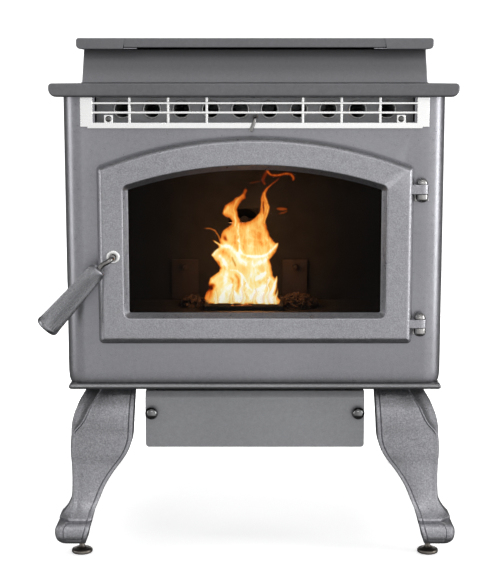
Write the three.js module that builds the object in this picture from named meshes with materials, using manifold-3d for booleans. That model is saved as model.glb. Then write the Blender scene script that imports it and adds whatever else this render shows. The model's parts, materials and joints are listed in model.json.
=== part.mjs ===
// A free-standing pellet stove with an arched cast door, a hopper in the top and four cabriole legs.
// Millimetres, +Z up, front towards -Y. Each named mesh is one separate piece of the real stove.
import * as THREE from "three";
import { mergeVertices } from "three/addons/utils/BufferGeometryUtils.js";
import Module from "manifold-3d";

const wasm = await Module();
wasm.setup();

// ---------------------------------------------------------------- driving dimensions
const GAP = 0.3; // between touching pieces
const SHIFT_X = 8.5, SHIFT_Y = 21; // puts the origin under the middle of the whole stove
const CAB_HALF = 311, CAB_FRONT = -300, CAB_REAR = 288; // cabinet
const CAB_Z0 = 300, CAB_Z1 = 778, CORNER_R = 23, SHEET = 3;
const RETURN_Y = -240; // where the front's side returns end
const BASE_Z0 = 290, BASE_HALF = 312.5, BASE_FRONT = -303.5, BASE_REAR = 289;
const TOP_HALF = 330, TOP_FRONT = -333, TOP_REAR = 292, TOP_Z0 = 778, TOP_Z1 = 800;
const COLLAR_Z1 = 857; // box on the shelf
const LID_Z0 = 860, LID_Z1 = 876, LID_FRONT = -193, LID_HALF = 304.5, LID_SEAM_TOP = 221, LID_SEAM_BOTTOM = 225, LID_SIDE = 223.4;
const LID_AXIS_Y = 250, LID_AXIS_Z = 868;
const DOOR_X0 = -256.5, DOOR_X1 = 258.5, DOOR_Z0 = 376.5, DOOR_SIDE_Z = 663.6, DOOR_PEAK_Z = 713.5;
const DOOR_FRONT = -325, DOOR_BACK = -300.8;
const GLASS_HALF = 208.5, GLASS_Z0 = 423, GLASS_SIDE_Z = 627.4, GLASS_PEAK_Z = 660;
const HINGE_X = 275, HINGE_Y = -311;
const HANDLE_X = -232.8, HANDLE_Z = 517.5, HANDLE_Y = -352;
const GRIP_FROM = [-253, 502], GRIP_TO = [-342, 404];
const FB_HALF = 262, FB_FRONT = -272, FB_REAR = 40, FB_Z0 = 300.3, FB_Z1 = 776, FB_WALL = 5; // firebox
const TUBE_Z = 757, TUBE_R = 15, TUBE_BORE = 13, TUBE_PITCH = 48.6, TUBE_FRONT = -275.5;
const POT_X = -20, POT_HALF = 71, POT_Y0 = -130, POT_Y1 = -2, POT_RIM_Z = 404;
const FLOOR_Z0 = 384, FLOOR_Z1 = 390;
const ASH_HALF = 187, ASH_Z0 = 183, ASH_Z1 = 281, ASH_FOLD_Z = 269, ASH_FRONT = -275;
const LEVEL_X = 298, LEVEL_Y = -287, LEVEL_R = 18, FOOT_Z = 24;

// ---------------------------------------------------------------- finishes
const paint = (color, roughness = 0.55, metalness = 0.35) =>
  new THREE.MeshStandardMaterial({ color, roughness, metalness });
const GREY = () => paint(0x7c8084);
const DARKGREY = () => paint(0x63676b);
const CAST = () => paint(0x8f9294, 0.7, 0.3);
const NICKEL = () => paint(0xe9ebec, 0.25, 1);
const STEEL = () => paint(0x9a9a98, 0.4, 0.9);
const BLACK = () => paint(0x17181a, 0.8, 0.2);
const GALV = () => paint(0xa9adb0, 0.45, 0.8);
const GRIP = () => paint(0x5b5e60, 0.45, 0.5);

// ---------------------------------------------------------------- shape helpers
function solid(geometry) {
  const g = geometry.clone();
  for (const n of ["normal", "uv"]) g.deleteAttribute(n);
  const m = mergeVertices(g, 1e-4);
  const p = m.attributes.position.array, t = new Uint32Array(m.index.array);
  let six = 0;
  for (let i = 0; i < t.length; i += 3) {
    const a = t[i] * 3, b = t[i + 1] * 3, c = t[i + 2] * 3;
    six += p[a] * (p[b + 1] * p[c + 2] - p[b + 2] * p[c + 1]) -
      p[a + 1] * (p[b] * p[c + 2] - p[b + 2] * p[c]) +
      p[a + 2] * (p[b] * p[c + 1] - p[b + 1] * p[c]);
  }
  if (six < 0) for (let i = 0; i < t.length; i += 3) [t[i + 1], t[i + 2]] = [t[i + 2], t[i + 1]];
  return new wasm.Manifold(new wasm.Mesh({ numProp: 3, vertProperties: p, triVerts: t }));
}
const join = (...s) => s.reduce((a, b) => a.add(b));
const cut = (a, ...s) => s.reduce((x, y) => x.subtract(y), a);

const root = new THREE.Group();
root.position.set(SHIFT_X, SHIFT_Y, 0);
function piece(name, s, material) {
  const m = s.getMesh();
  const g = new THREE.BufferGeometry();
  const v = new Float32Array(m.numVert * 3);
  for (let i = 0; i < m.numVert; i++)
    v.set(m.vertProperties.subarray(i * m.numProp, i * m.numProp + 3), i * 3);
  g.setAttribute("position", new THREE.BufferAttribute(v, 3));
  g.setIndex(new THREE.BufferAttribute(new Uint32Array(m.triVerts), 1));
  g.computeVertexNormals();
  const mesh = new THREE.Mesh(g, material);
  mesh.name = name;
  root.add(mesh);
  return s;
}
function box(x0, x1, y0, y1, z0, z1) {
  return solid(new THREE.BoxGeometry(x1 - x0, y1 - y0, z1 - z0)
    .translate((x0 + x1) / 2, (y0 + y1) / 2, (z0 + z1) / 2));
}
// A box whose top differs from its bottom: b and t are [x0, x1, y0, y1].
function frustum(b, z0, t, z1) {
  const g = new THREE.BoxGeometry(1, 1, 1), p = g.attributes.position;
  for (let i = 0; i < p.count; i++) {
    const r = p.getZ(i) > 0 ? t : b;
    p.setXYZ(i, p.getX(i) < 0 ? r[0] : r[1], p.getY(i) < 0 ? r[2] : r[3], p.getZ(i) > 0 ? z1 : z0);
  }
  return solid(g);
}
function rod(from, to, r, sides = 16, r2 = r) {
  const a = new THREE.Vector3(...from), b = new THREE.Vector3(...to), d = b.clone().sub(a);
  const g = new THREE.CylinderGeometry(r2, r, d.length(), sides);
  g.applyQuaternion(new THREE.Quaternion().setFromUnitVectors(new THREE.Vector3(0, 1, 0), d.clone().normalize()));
  const c = a.add(b).multiplyScalar(0.5);
  return solid(g.translate(c.x, c.y, c.z));
}
const shapeOf = (pts) => new THREE.Shape(pts.map((p) => new THREE.Vector2(p[0], p[1])));
// Outline in X,Z extruded along Y.
function prismXZ(pts, y0, y1) {
  const g = new THREE.ExtrudeGeometry(shapeOf(pts), { depth: y1 - y0, bevelEnabled: false, steps: 1 });
  return solid(g.rotateX(Math.PI / 2).translate(0, y1, 0));
}
const YZ = new THREE.Matrix4().set(0, 0, 1, 0, 1, 0, 0, 0, 0, 1, 0, 0, 0, 0, 0, 1);
// Outline in Y,Z extruded along X.
function prismYZ(pts, x0, x1) {
  const g = new THREE.ExtrudeGeometry(shapeOf(pts), { depth: x1 - x0, bevelEnabled: false, steps: 1 });
  return solid(g.applyMatrix4(YZ).translate(x0, 0, 0));
}
// Outline in X,Y extruded along Z.
function prismXY(pts, z0, z1) {
  return solid(new THREE.ExtrudeGeometry(shapeOf(pts), { depth: z1 - z0, bevelEnabled: false, steps: 1 }).translate(0, 0, z0));
}
// A turned piece: profile of [radius, distance] along the line from a towards direction d.
function turned(profile, a, d, sides = 24) {
  const g = new THREE.LatheGeometry(profile.map((p) => new THREE.Vector2(p[0], p[1])), sides);
  g.applyQuaternion(new THREE.Quaternion().setFromUnitVectors(new THREE.Vector3(0, 1, 0), new THREE.Vector3(...d).normalize()));
  return solid(g.translate(...a));
}
function arc(cx, cy, r, a0, a1, n) {
  const out = [];
  for (let i = 0; i <= n; i++) {
    const a = ((a0 + ((a1 - a0) * i) / n) * Math.PI) / 180;
    out.push([cx + r * Math.cos(a), cy + r * Math.sin(a)]);
  }
  return out;
}
// Arched outline: flat bottom, upright sides, one arc over the top.
function arch(x0, x1, z0, zs, zp, n = 14) {
  const h = (x1 - x0) / 2, s = zp - zs, r = (h * h + s * s) / (2 * s), cx = (x0 + x1) / 2;
  const a = (Math.asin(h / r) * 180) / Math.PI;
  return [[x0, z0], [x1, z0], ...arc(cx, zp - r, r, 90 - a, 90 + a, n)];
}
// Bar section with rounded ends: bottom corners of radius rb, top corners of radius rt.
function bullnose(a0, a1, z0, z1, rb, rt) {
  return [
    ...arc(a0 + rb, z0 + rb, rb, 180, 270, 4), ...arc(a1 - rb, z0 + rb, rb, 270, 360, 4),
    ...arc(a1 - rt, z1 - rt, rt, 0, 90, 3), ...arc(a0 + rt, z1 - rt, rt, 90, 180, 3),
  ];
}

// ---------------------------------------------------------------- base and cabinet
piece("base_plate", cut(
  box(-BASE_HALF, BASE_HALF, BASE_FRONT, BASE_REAR, BASE_Z0, CAB_Z0),
  box(-86, 46, -126, -4, BASE_Z0 - 5, CAB_Z0 + 5),
), GREY());

function wrapOutline(off) {
  const x = CAB_HALF - off, y = CAB_FRONT + off, r = CORNER_R - off;
  return [[-x, RETURN_Y], ...arc(-x + r, y + r, r, 180, 270, 6), ...arc(x - r, y + r, r, 270, 360, 6), [x, RETURN_Y]];
}
{
  const outline = [...wrapOutline(0), ...wrapOutline(SHEET).reverse()];
  let s = prismXY(outline, CAB_Z0 + GAP, CAB_Z1 - GAP);
  s = cut(s, prismXZ(arch(-230.5, 230.5, 399, 633, 680), CAB_FRONT - 20, CAB_FRONT + 10));
  s = cut(s, box(-262, 262, CAB_FRONT - 20, CAB_FRONT + 10, 737, CAB_Z1 + 5));
  for (const k of [-1, 1]) // lugs behind the grille's tabs
    s = join(s, cut(box(k * 239 - 7, k * 239 + 7, CAB_FRONT, CAB_FRONT + SHEET, 730, 750),
      rod([k * 239, CAB_FRONT - 5, 742.4], [k * 239, CAB_FRONT + 9, 742.4], 2.9, 12)));
  s = cut(s, box(-255, -229, CAB_FRONT - 20, CAB_FRONT + 10, 504, 524)); // latch slot
  piece("cabinet_front", s, GREY());
}
piece("left_side_panel", box(-CAB_HALF, -CAB_HALF + 2, RETURN_Y + GAP, CAB_REAR - SHEET - GAP, CAB_Z0 + GAP, CAB_Z1 - GAP), GREY());
piece("right_side_panel", box(CAB_HALF - 2, CAB_HALF, RETURN_Y + GAP, CAB_REAR - SHEET - GAP, CAB_Z0 + GAP, CAB_Z1 - GAP), GREY());
const FLUE_X = 155, FLUE_Z = 355, FLUE_R = 38, AIR_X = 20, AIR_Z = 326, AIR_R = 22;
{
  let s = box(-CAB_HALF + 2.5, CAB_HALF - 2.5, CAB_REAR - SHEET, CAB_REAR, CAB_Z0 + GAP, CAB_Z1 - GAP);
  s = cut(s, rod([FLUE_X, 270, FLUE_Z], [FLUE_X, 300, FLUE_Z], FLUE_R + 2, 24));
  s = cut(s, rod([AIR_X, 270, AIR_Z], [AIR_X, 300, AIR_Z], AIR_R + 1, 20));
  s = cut(s, box(-262, -228, 270, 300, 345, 369)); // mains inlet
  for (let i = 0; i < 6; i++) s = cut(s, box(-210, -100, 270, 300, 372 + i * 16, 378 + i * 16)); // air slots
  piece("rear_panel", s, DARKGREY());
}

// ---------------------------------------------------------------- main top shelf and hopper
{
  const sx = prismXZ(bullnose(-TOP_HALF, TOP_HALF, TOP_Z0, TOP_Z1, 13, 6), TOP_FRONT - 10, TOP_REAR);
  const sy = prismYZ([
    ...arc(TOP_FRONT + 10, TOP_Z0 + 10, 10, 180, 270, 4), [TOP_REAR, TOP_Z0], [TOP_REAR, TOP_Z1],
    ...arc(TOP_FRONT + 5, TOP_Z1 - 5, 5, 90, 180, 3),
  ], -TOP_HALF - 5, TOP_HALF + 5);
  piece("main_top", cut(sx.intersect(sy), box(-253, 253, 96, 273, TOP_Z0 - 5, TOP_Z1 + 5)), DARKGREY());
}
piece("hopper_collar", cut(
  frustum([-296, 296, -163, 286], TOP_Z1 + GAP, [-292, 292, -160, 286], COLLAR_Z1),
  frustum([-293.5, 293.5, -160.5, 283.5], TOP_Z1 - 1, [-289.5, 289.5, -157.5, 283.5], COLLAR_Z1 + 1),
), DARKGREY());
{
  // two fixed ends and the strip behind the lid, in one piece; each end has a slanted lip in front of the lid's edge
  const pts = bullnose(-LID_HALF, LID_HALF, COLLAR_Z1 + GAP, LID_Z1, 7.5, 4.5);
  let s = prismXZ(pts, LID_FRONT, TOP_REAR);
  const e = ((LID_SEAM_BOTTOM - LID_SEAM_TOP) * 9) / (LID_Z1 - COLLAR_Z1), sb = LID_SEAM_BOTTOM + e, st = LID_SEAM_TOP - e;
  s = cut(s, prismXZ([[-sb, COLLAR_Z1 - 9], [sb, COLLAR_Z1 - 9], [st, LID_Z1 + 9], [-st, LID_Z1 + 9]], LID_FRONT - 5, LID_FRONT + 5));
  s = cut(s, box(-LID_SIDE - 0.6, LID_SIDE + 0.6, LID_FRONT + 1.5, 259.6, COLLAR_Z1 - 9, LID_Z1 + 9));
  s = cut(s, rod([-232, LID_AXIS_Y, LID_AXIS_Z], [232, LID_AXIS_Y, LID_AXIS_Z], 3, 12));
  piece("hopper_top_frame", s, DARKGREY());
}
{
  let s = box(-LID_SIDE, LID_SIDE, LID_FRONT + 1.8, 242, LID_Z0, LID_Z1);
  // underside recess
  s = cut(s, box(-210, 210, LID_FRONT + 12, 225, LID_Z0 - 5, LID_Z0 + 10));
  for (const k of [-1, 1]) {
    const x0 = k * 150 - 22, x1 = k * 150 + 22;
    s = join(s, box(x0, x1, 236, LID_AXIS_Y, LID_AXIS_Z - 5, LID_AXIS_Z + 5), rod([x0, LID_AXIS_Y, LID_AXIS_Z], [x1, LID_AXIS_Y, LID_AXIS_Z], 6, 16));
  }
  s = cut(s, rod([-240, LID_AXIS_Y, LID_AXIS_Z], [240, LID_AXIS_Y, LID_AXIS_Z], 3.1, 16));
  piece("hopper_lid", s, DARKGREY());
}
piece("lid_hinge_rod", rod([-231, LID_AXIS_Y, LID_AXIS_Z], [231, LID_AXIS_Y, LID_AXIS_Z], 2.6, 12), STEEL());
{
  let s = frustum([-60, 20, 92, 168], 575.3, [-250, 250, 99, 270], TOP_Z1 + GAP);
  s = join(s, box(-258, 258, 91, 278, TOP_Z1 + GAP, TOP_Z1 + 3));
  s = cut(s, frustum([-57, 17, 95, 165], 575.2, [-247, 247, 102, 267], TOP_Z1 + GAP), box(-247, 247, 102, 267, TOP_Z1, TOP_Z1 + 9), box(-57, 17, 95, 165, 570, 577));
  piece("hopper_funnel", s, GALV());
}

// ---------------------------------------------------------------- outlet grille
{
  const y0 = -307, y1 = CAB_FRONT - GAP, ym = -305.5, yn = -302;
  let s = join(
    box(-285, -265, y0, y1, 727, CAB_Z1 - GAP), box(265, 285, y0, y1, 727, CAB_Z1 - GAP),
    box(-272, 272, y0, y1, 726.8, 736.4),
    box(-266, 266, ym, yn, 750.7, 754.7), box(-266, 266, ym, yn, 766, 770), box(-266, 266, ym, yn, 774, CAB_Z1 - GAP),
  );
  for (const x of [78.5, 141.6, 204.8]) for (const k of [-1, 1]) s = join(s, box(k * x - 2, k * x + 2, ym + 0.4, yn, 730, 776));
  for (const k of [-1, 1]) {
    s = join(s, box(k * 239.2 - 7.2, k * 239.2 + 7.2, ym, y1, 730, 748.6));
    s = cut(s, rod([k * 239, -315, 742.4], [k * 239, -295, 742.4], 2.9, 12));
  }
  piece("grille", s, NICKEL());
  for (const k of [-1, 1]) {
    const s2 = turned([[0, 0], [5, 0], [4.8, 1.6], [3.2, 2.8], [0, 3.2]].map(([r, d]) => [r, d]), [k * 239, ym - GAP, 742.4], [0, -1, 0], 16);
    piece(k < 0 ? "grille_screw_left" : "grille_screw_right",
      join(s2, rod([k * 239, ym - GAP - 0.5, 742.4], [k * 239, -293, 742.4], 2.4, 12)), STEEL());
  }
}

// ---------------------------------------------------------------- firebox and heat exchanger
const tubeX = Array.from({ length: 10 }, (_, i) => (i - 4.5) * TUBE_PITCH);
{
  let s = cut(
    box(-FB_HALF, FB_HALF, FB_FRONT, FB_REAR, FB_Z0, FB_Z1),
    box(-FB_HALF + FB_WALL, FB_HALF - FB_WALL, FB_FRONT + FB_WALL, FB_REAR - FB_WALL, FB_Z0 + FB_WALL, FB_Z1 - 2.5),
  );
  s = join(s, prismXZ(arch(-228, 228, 402, 630, 677), -296.5, FB_FRONT + 2));
  s = cut(s, prismXZ(arch(-212, 212, 418, 625, 663), -300, FB_FRONT + 20));
  for (const x of tubeX) s = cut(s, rod([x, FB_FRONT - 9, TUBE_Z], [x, FB_FRONT + 9, TUBE_Z], TUBE_R + 0.6, 12));
  s = cut(s, rod([1, FB_FRONT - 9, 745], [1, FB_FRONT + 9, 745], 3.8, 12)); // scraper rod
  s = cut(s, box(-236, 236, FB_REAR - 9, FB_REAR + 9, 739, FB_Z1 - 2.5)); // closed by the rear tube sheet
  s = cut(s, box(-86, 46, -126, -4, FB_Z0 - 5, FB_Z0 + 9)); // ash drop
  s = cut(s, box(POT_X - 30, POT_X + 30, FB_REAR - 9, FB_REAR + 9, 505, 565)); // feed chute
  s = cut(s, rod([AIR_X, FB_REAR - 9, AIR_Z], [AIR_X, FB_REAR + 9, AIR_Z], AIR_R - 3, 16)); // combustion air
  s = cut(s, box(96, 190, FB_REAR - 9, FB_REAR + 9, 330, 375)); // exhaust
  for (const [a, b] of [[-150, -116], [61, 92]]) s = cut(s, box(a, b, FB_REAR - 9, FB_REAR + 9, 400, 448)); // clean-out holes
  s = cut(s, rod([POT_X + 58, FB_REAR - 9, 360], [POT_X + 58, FB_REAR + 9, 360], 6, 12)); // igniter
  for (const k of [-1, 1]) { // ledges for the floor plate
    const a = k * (FB_HALF - FB_WALL - 12), b = k * (FB_HALF - FB_WALL + 1);
    s = join(s, box(Math.min(a, b), Math.max(a, b), FB_FRONT + 4, FB_REAR - 4, 378, FLOOR_Z0 - GAP));
  }
  piece("firebox", s, BLACK());
}
{
  let s = box(-246, 246, FB_REAR + GAP, FB_REAR + 3, 733, 775.5);
  for (const x of tubeX) s = join(s, rod([x, TUBE_FRONT, TUBE_Z], [x, FB_REAR + 2, TUBE_Z], TUBE_R, 12));
  for (const x of tubeX) s = cut(s, rod([x, TUBE_FRONT - 5, TUBE_Z], [x, FB_REAR + 9, TUBE_Z], TUBE_BORE, 12));
  piece("heat_exchanger", s, GALV());
  let p = box(-250, 250, 18, 21, 738.5, 770.2);
  for (const x of tubeX) p = cut(p, rod([x, 10, TUBE_Z], [x, 30, TUBE_Z], TUBE_R + 0.8, 12));
  p = cut(p, box(-255, 255, 10, 30, 772, 790), rod([1, 10, 745], [1, 30, 745], 3.4, 12));
  piece("scraper_plate", p, STEEL());
  // rod with the bent end that a hand pulls; its tail is headed on both sides of the plate
  const r = join(
    rod([1, -312, 745], [1, 24, 745], 3, 12),
    rod([1, 22, 745], [1, 25.5, 745], 5, 12),
    turned([[0, -3], [2.1, -2.1], [3, 0], [2.1, 2.1], [0, 3]], [1, -312, 745], [0, 1, 0], 12),
    rod([1, -312, 745], [-6.8, -313, 722.5], 3, 12, 2.4),
  );
  piece("scraper_rod", r, STEEL());
}
piece("floor_plate", cut(
  box(-FB_HALF + FB_WALL + 1, FB_HALF - FB_WALL - 1, FB_FRONT + FB_WALL + 1, FB_REAR - FB_WALL - 1, FLOOR_Z0, FLOOR_Z1),
  box(POT_X - POT_HALF - 1, POT_X + POT_HALF + 1, POT_Y0 - 1, POT_Y1 + 1, FLOOR_Z0 - 5, FLOOR_Z1 + 5),
), BLACK());
{
  const x0 = POT_X - POT_HALF, x1 = POT_X + POT_HALF;
  let s = join(
    frustum([x0 + 16, x1 - 16, POT_Y0 + 14, POT_Y1 - 14], 342, [x0, x1, POT_Y0, POT_Y1], POT_RIM_Z),
    box(x0 - 7, x1 + 7, POT_Y0 - 7, POT_Y1 + 7, FLOOR_Z1 + GAP, FLOOR_Z1 + 4),
  );
  s = cut(s, frustum([x0 + 21, x1 - 21, POT_Y0 + 19, POT_Y1 - 19], 347, [x0 + 4.5, x1 - 4.5, POT_Y0 + 4.5, POT_Y1 - 4.5], POT_RIM_Z + 1));
  for (let i = 0; i < 4; i++) for (let j = 0; j < 3; j++) { // air holes in the grate
    const hx = POT_X - 36 + i * 24, hy = (POT_Y0 + POT_Y1) / 2 - 26 + j * 26;
    s = cut(s, rod([hx, hy, 335], [hx, hy, 350], 4, 8));
  }
  piece("burn_pot", s, BLACK());
}
for (const [name, a, b] of [["cleanout_cover_left", -158, -108], ["cleanout_cover_right", 53, 99.5]]) {
  const c = (a + b) / 2;
  piece(name, join(box(a, b, 30, FB_REAR - FB_WALL - GAP, 391.5, 467.5),
    turned([[0, -1], [3, -1], [3, 5], [6, 6], [6, 10], [4.6, 12], [0, 12.6]], [c, 30.5, 454.5], [0, -1, 0], 12)), BLACK());
}
piece("igniter", join(rod([POT_X + 58, POT_Y1 + 8, 360], [POT_X + 58, FB_REAR + 30, 360], 5, 12),
  rod([POT_X + 58, FB_REAR + GAP, 360], [POT_X + 58, FB_REAR + 6, 360], 9, 12)), STEEL());

// ---------------------------------------------------------------- door
{
  const shape = shapeOf(arch(DOOR_X0, DOOR_X1, DOOR_Z0, DOOR_SIDE_Z, DOOR_PEAK_Z));
  const g = new THREE.ExtrudeGeometry(shape, { depth: 12, bevelEnabled: true, bevelThickness: 5, bevelSize: 5, bevelOffset: -5, bevelSegments: 2, steps: 1 });
  g.rotateX(Math.PI / 2).translate(0, DOOR_FRONT + 17, 0);
  let s = join(solid(g), prismXZ(arch(DOOR_X0, DOOR_X1, DOOR_Z0, DOOR_SIDE_Z, DOOR_PEAK_Z), DOOR_FRONT + 10, DOOR_BACK));
  // hinge arms
  for (const [z0, z1] of [[620.5, 636], [398, 412]])
    s = join(s, box(244, HINGE_X, -322, DOOR_BACK, z0, z1), rod([HINGE_X, HINGE_Y, z0], [HINGE_X, HINGE_Y, z1], 10.3, 20));
  for (const [z0, z1] of [[620.5, 636], [398, 412]])
    s = cut(s, rod([HINGE_X, HINGE_Y, z0 - 4], [HINGE_X, HINGE_Y, z1 + 4], 4, 16));
  // opening with a bevelled edge, and the rebate for the glass behind it
  const cutter = new THREE.ExtrudeGeometry(shapeOf(arch(-GLASS_HALF, GLASS_HALF, GLASS_Z0, GLASS_SIDE_Z, GLASS_PEAK_Z)),
    { depth: 10, bevelEnabled: true, bevelThickness: 8, bevelSize: 8.5, bevelSegments: 1, steps: 1 });
  cutter.rotateX(Math.PI / 2).translate(0, DOOR_FRONT, 0);
  s = cut(s, solid(cutter), prismXZ(arch(-GLASS_HALF, GLASS_HALF, GLASS_Z0, GLASS_SIDE_Z, GLASS_PEAK_Z), -330, -290));
  s = cut(s, prismXZ(arch(-218.5, 218.5, 413, 630, 671), -312.3, -290));
  s = cut(s, rod([HANDLE_X, -340, HANDLE_Z], [HANDLE_X, -290, HANDLE_Z], 5, 16));
  piece("door_frame", s, CAST());
}
piece("door_glass", prismXZ(arch(-218, 218, 413.5, 629.8, 670.5), -312, -307),
  new THREE.MeshStandardMaterial({ color: 0x2a2622, roughness: 0.05, metalness: 0, transparent: true, opacity: 0.35 }));
piece("glass_retainer", cut(prismXZ(arch(-218, 218, 413.5, 629.8, 670.5), -306.7, -303.7), prismXZ(arch(-209, 209, 422.5, 627, 661), -320, -290)), BLACK());
piece("door_gasket", cut(prismXZ(arch(-226.5, 226.5, 404, 631, 676), -303.4, -296.8).subtract(prismXZ(arch(-218.6, 218.6, 412.9, 630.1, 671.1), -303.5, -302)),
  prismXZ(arch(-214, 214, 417, 627, 664), -320, -290),
  box(-300, 300, -310, DOOR_BACK + GAP, 300, 720)), paint(0x3a3835, 0.95, 0));
for (const [name, z0, z1] of [["hinge_bracket_upper", 606, 620.2], ["hinge_bracket_lower", 382.5, 397.7]])
  piece(name, cut(
    join(rod([HINGE_X, HINGE_Y, z0], [HINGE_X, HINGE_Y, z1], 10, 20), box(HINGE_X - 7, HINGE_X + 7, HINGE_Y, CAB_FRONT - GAP, z0, z1),
      box(HINGE_X - 11, HINGE_X + 11, CAB_FRONT - 2.3, CAB_FRONT - GAP, z0, z1)),
    rod([HINGE_X, HINGE_Y, z0 + 3], [HINGE_X, HINGE_Y, z1 + 4], 4, 16)), STEEL());
for (const [name, z] of [["hinge_pin_upper", 636.3], ["hinge_pin_lower", 412.3]])
  piece(name, join(
    turned([[0, 0], [9, 0], [9, 3], [8, 6.5], [5.4, 9.3], [2.4, 10.5], [0, 10.8]], [HINGE_X, HINGE_Y, z], [0, 0, 1], 20),
    rod([HINGE_X, HINGE_Y, z - 26], [HINGE_X, HINGE_Y, z + 1], 3.6, 16)), STEEL());

// ---------------------------------------------------------------- door latch and handle
const gd = [GRIP_TO[0] - GRIP_FROM[0], 0, GRIP_TO[1] - GRIP_FROM[1]];
const gl = Math.hypot(gd[0], gd[2]), gu = gd.map((v) => v / gl);
{
  const c = [HANDLE_X, HANDLE_Y, HANDLE_Z];
  const f = (k) => new THREE.Vector3(GRIP_FROM[0] + gu[0] * k, HANDLE_Y, GRIP_FROM[1] + gu[2] * k);
  const bend = new THREE.CatmullRomCurve3([
    new THREE.Vector3(HANDLE_X, HANDLE_Y + 14, HANDLE_Z),
    new THREE.Vector3(HANDLE_X - 0.7, HANDLE_Y + 4, HANDLE_Z - 0.5),
    new THREE.Vector3(HANDLE_X - 4, HANDLE_Y + 0.6, HANDLE_Z - 2.8),
    f(-6), f(0), f(8), f(20),
  ], false, "centripetal");
  const sec = shapeOf(arc(0, 0, 4.3, 0, 330, 11));
  const g = new THREE.ExtrudeGeometry(sec, { extrudePath: bend, steps: 14, bevelEnabled: false });
  const s = join(rod([c[0], -290.4, c[2]], [c[0], HANDLE_Y + 13, c[2]], 4.4, 12), solid(g));
  piece("latch_shaft", s, NICKEL());
  const grip = turned([[0, 0], [12.3, 0], [14.3, 2.5], [14.9, 14], [17.2, 68], [19.2, 116], [20, 126], [19.6, 130.5], [16.5, 133], [0, 133.4]],
    [GRIP_FROM[0], HANDLE_Y, GRIP_FROM[1]], gu, 20);
  piece("handle_grip", cut(grip, rod([GRIP_FROM[0] - gu[0] * 5, HANDLE_Y, GRIP_FROM[1] - gu[2] * 5], [GRIP_FROM[0] + gu[0] * 22, HANDLE_Y, GRIP_FROM[1] + gu[2] * 22], 5.1, 16)), GRIP());
}
piece("latch_washer", cut(
  turned([[0, 0], [11, 0], [11, 1.6], [9.6, 2.8], [0, 2.8]], [HANDLE_X, DOOR_FRONT - GAP, HANDLE_Z], [0, -1, 0], 24),
  rod([HANDLE_X, -340, HANDLE_Z], [HANDLE_X, -290, HANDLE_Z], 4.9, 16)), NICKEL());
{
  // a finger that goes behind the catch when the grip points straight down
  const a = (200 * Math.PI) / 180, d = [Math.cos(a), Math.sin(a)], n = [-d[1], d[0]];
  const at = (l, w) => [HANDLE_X + d[0] * l + n[0] * w, HANDLE_Z + d[1] * l + n[1] * w];
  piece("latch_cam", join(
    prismXZ([at(-1.5, -4), at(20, -4), at(20, 4), at(-1.5, 4)], -290.1, -286.1),
    rod([HANDLE_X, -290.1, HANDLE_Z], [HANDLE_X, -286.1, HANDLE_Z], 4.4, 16)), STEEL());
}
piece("latch_catch", join(box(-256, -234, -296.6, -293.5, 489, 503), box(-256, -237, -296.6, -291.2, 494, 503)), STEEL());

// ---------------------------------------------------------------- ash pan
{
  let h = cut(box(-170, 170, -262.7, 60, 186, BASE_Z0 - GAP), box(-168, 168, -270, 58, 188, BASE_Z0 + 5));
  for (const k of [-1, 1]) h = join(h, box(Math.min(k * 169, k * 186), Math.max(k * 169, k * 186), -265.7, -262.7, 186, BASE_Z0 - GAP));
  for (const k of [-1, 1]) h = cut(h, rod([k * 176, -275, 244], [k * 176, -255, 244], 3.6, 12));
  piece("ash_pan_housing", h, BLACK());
  let p = cut(box(-160, 160, -267, 30, 190, 262), box(-158, 158, -264, 28, 192, 270));
  const r = arc(-ASH_HALF + 5, ASH_Z0 + 5, 5, 180, 270, 4), q = arc(ASH_HALF - 5, ASH_Z0 + 5, 5, 270, 360, 4);
  p = join(p, prismXZ([...r, ...q, [ASH_HALF, ASH_FOLD_Z], [-ASH_HALF, ASH_FOLD_Z]], ASH_FRONT, -266));
  p = join(p, prismYZ([[ASH_FRONT, ASH_FOLD_Z - 1], [ASH_FRONT, ASH_FOLD_Z], [-270, ASH_Z1], [-267, ASH_Z1], [-267, ASH_FOLD_Z - 1]], -ASH_HALF, ASH_HALF));
  for (const k of [-1, 1]) p = cut(p, rod([k * 176, -285, 244], [k * 176, -255, 244], 3.6, 12));
  piece("ash_pan", p, GREY());
  for (const k of [-1, 1])
    piece(k < 0 ? "thumb_screw_left" : "thumb_screw_right", join(
      turned([[0, 0], [5, 0], [5, 2.5], [10.6, 3.5], [11, 6], [11, 9], [9.4, 12.6], [5.6, 15], [0, 15.8]], [k * 176, ASH_FRONT - GAP, 244], [0, -1, 0], 20),
      rod([k * 176, ASH_FRONT - 1, 244], [k * 176, -258, 244], 3, 12)), NICKEL());
}

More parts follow.
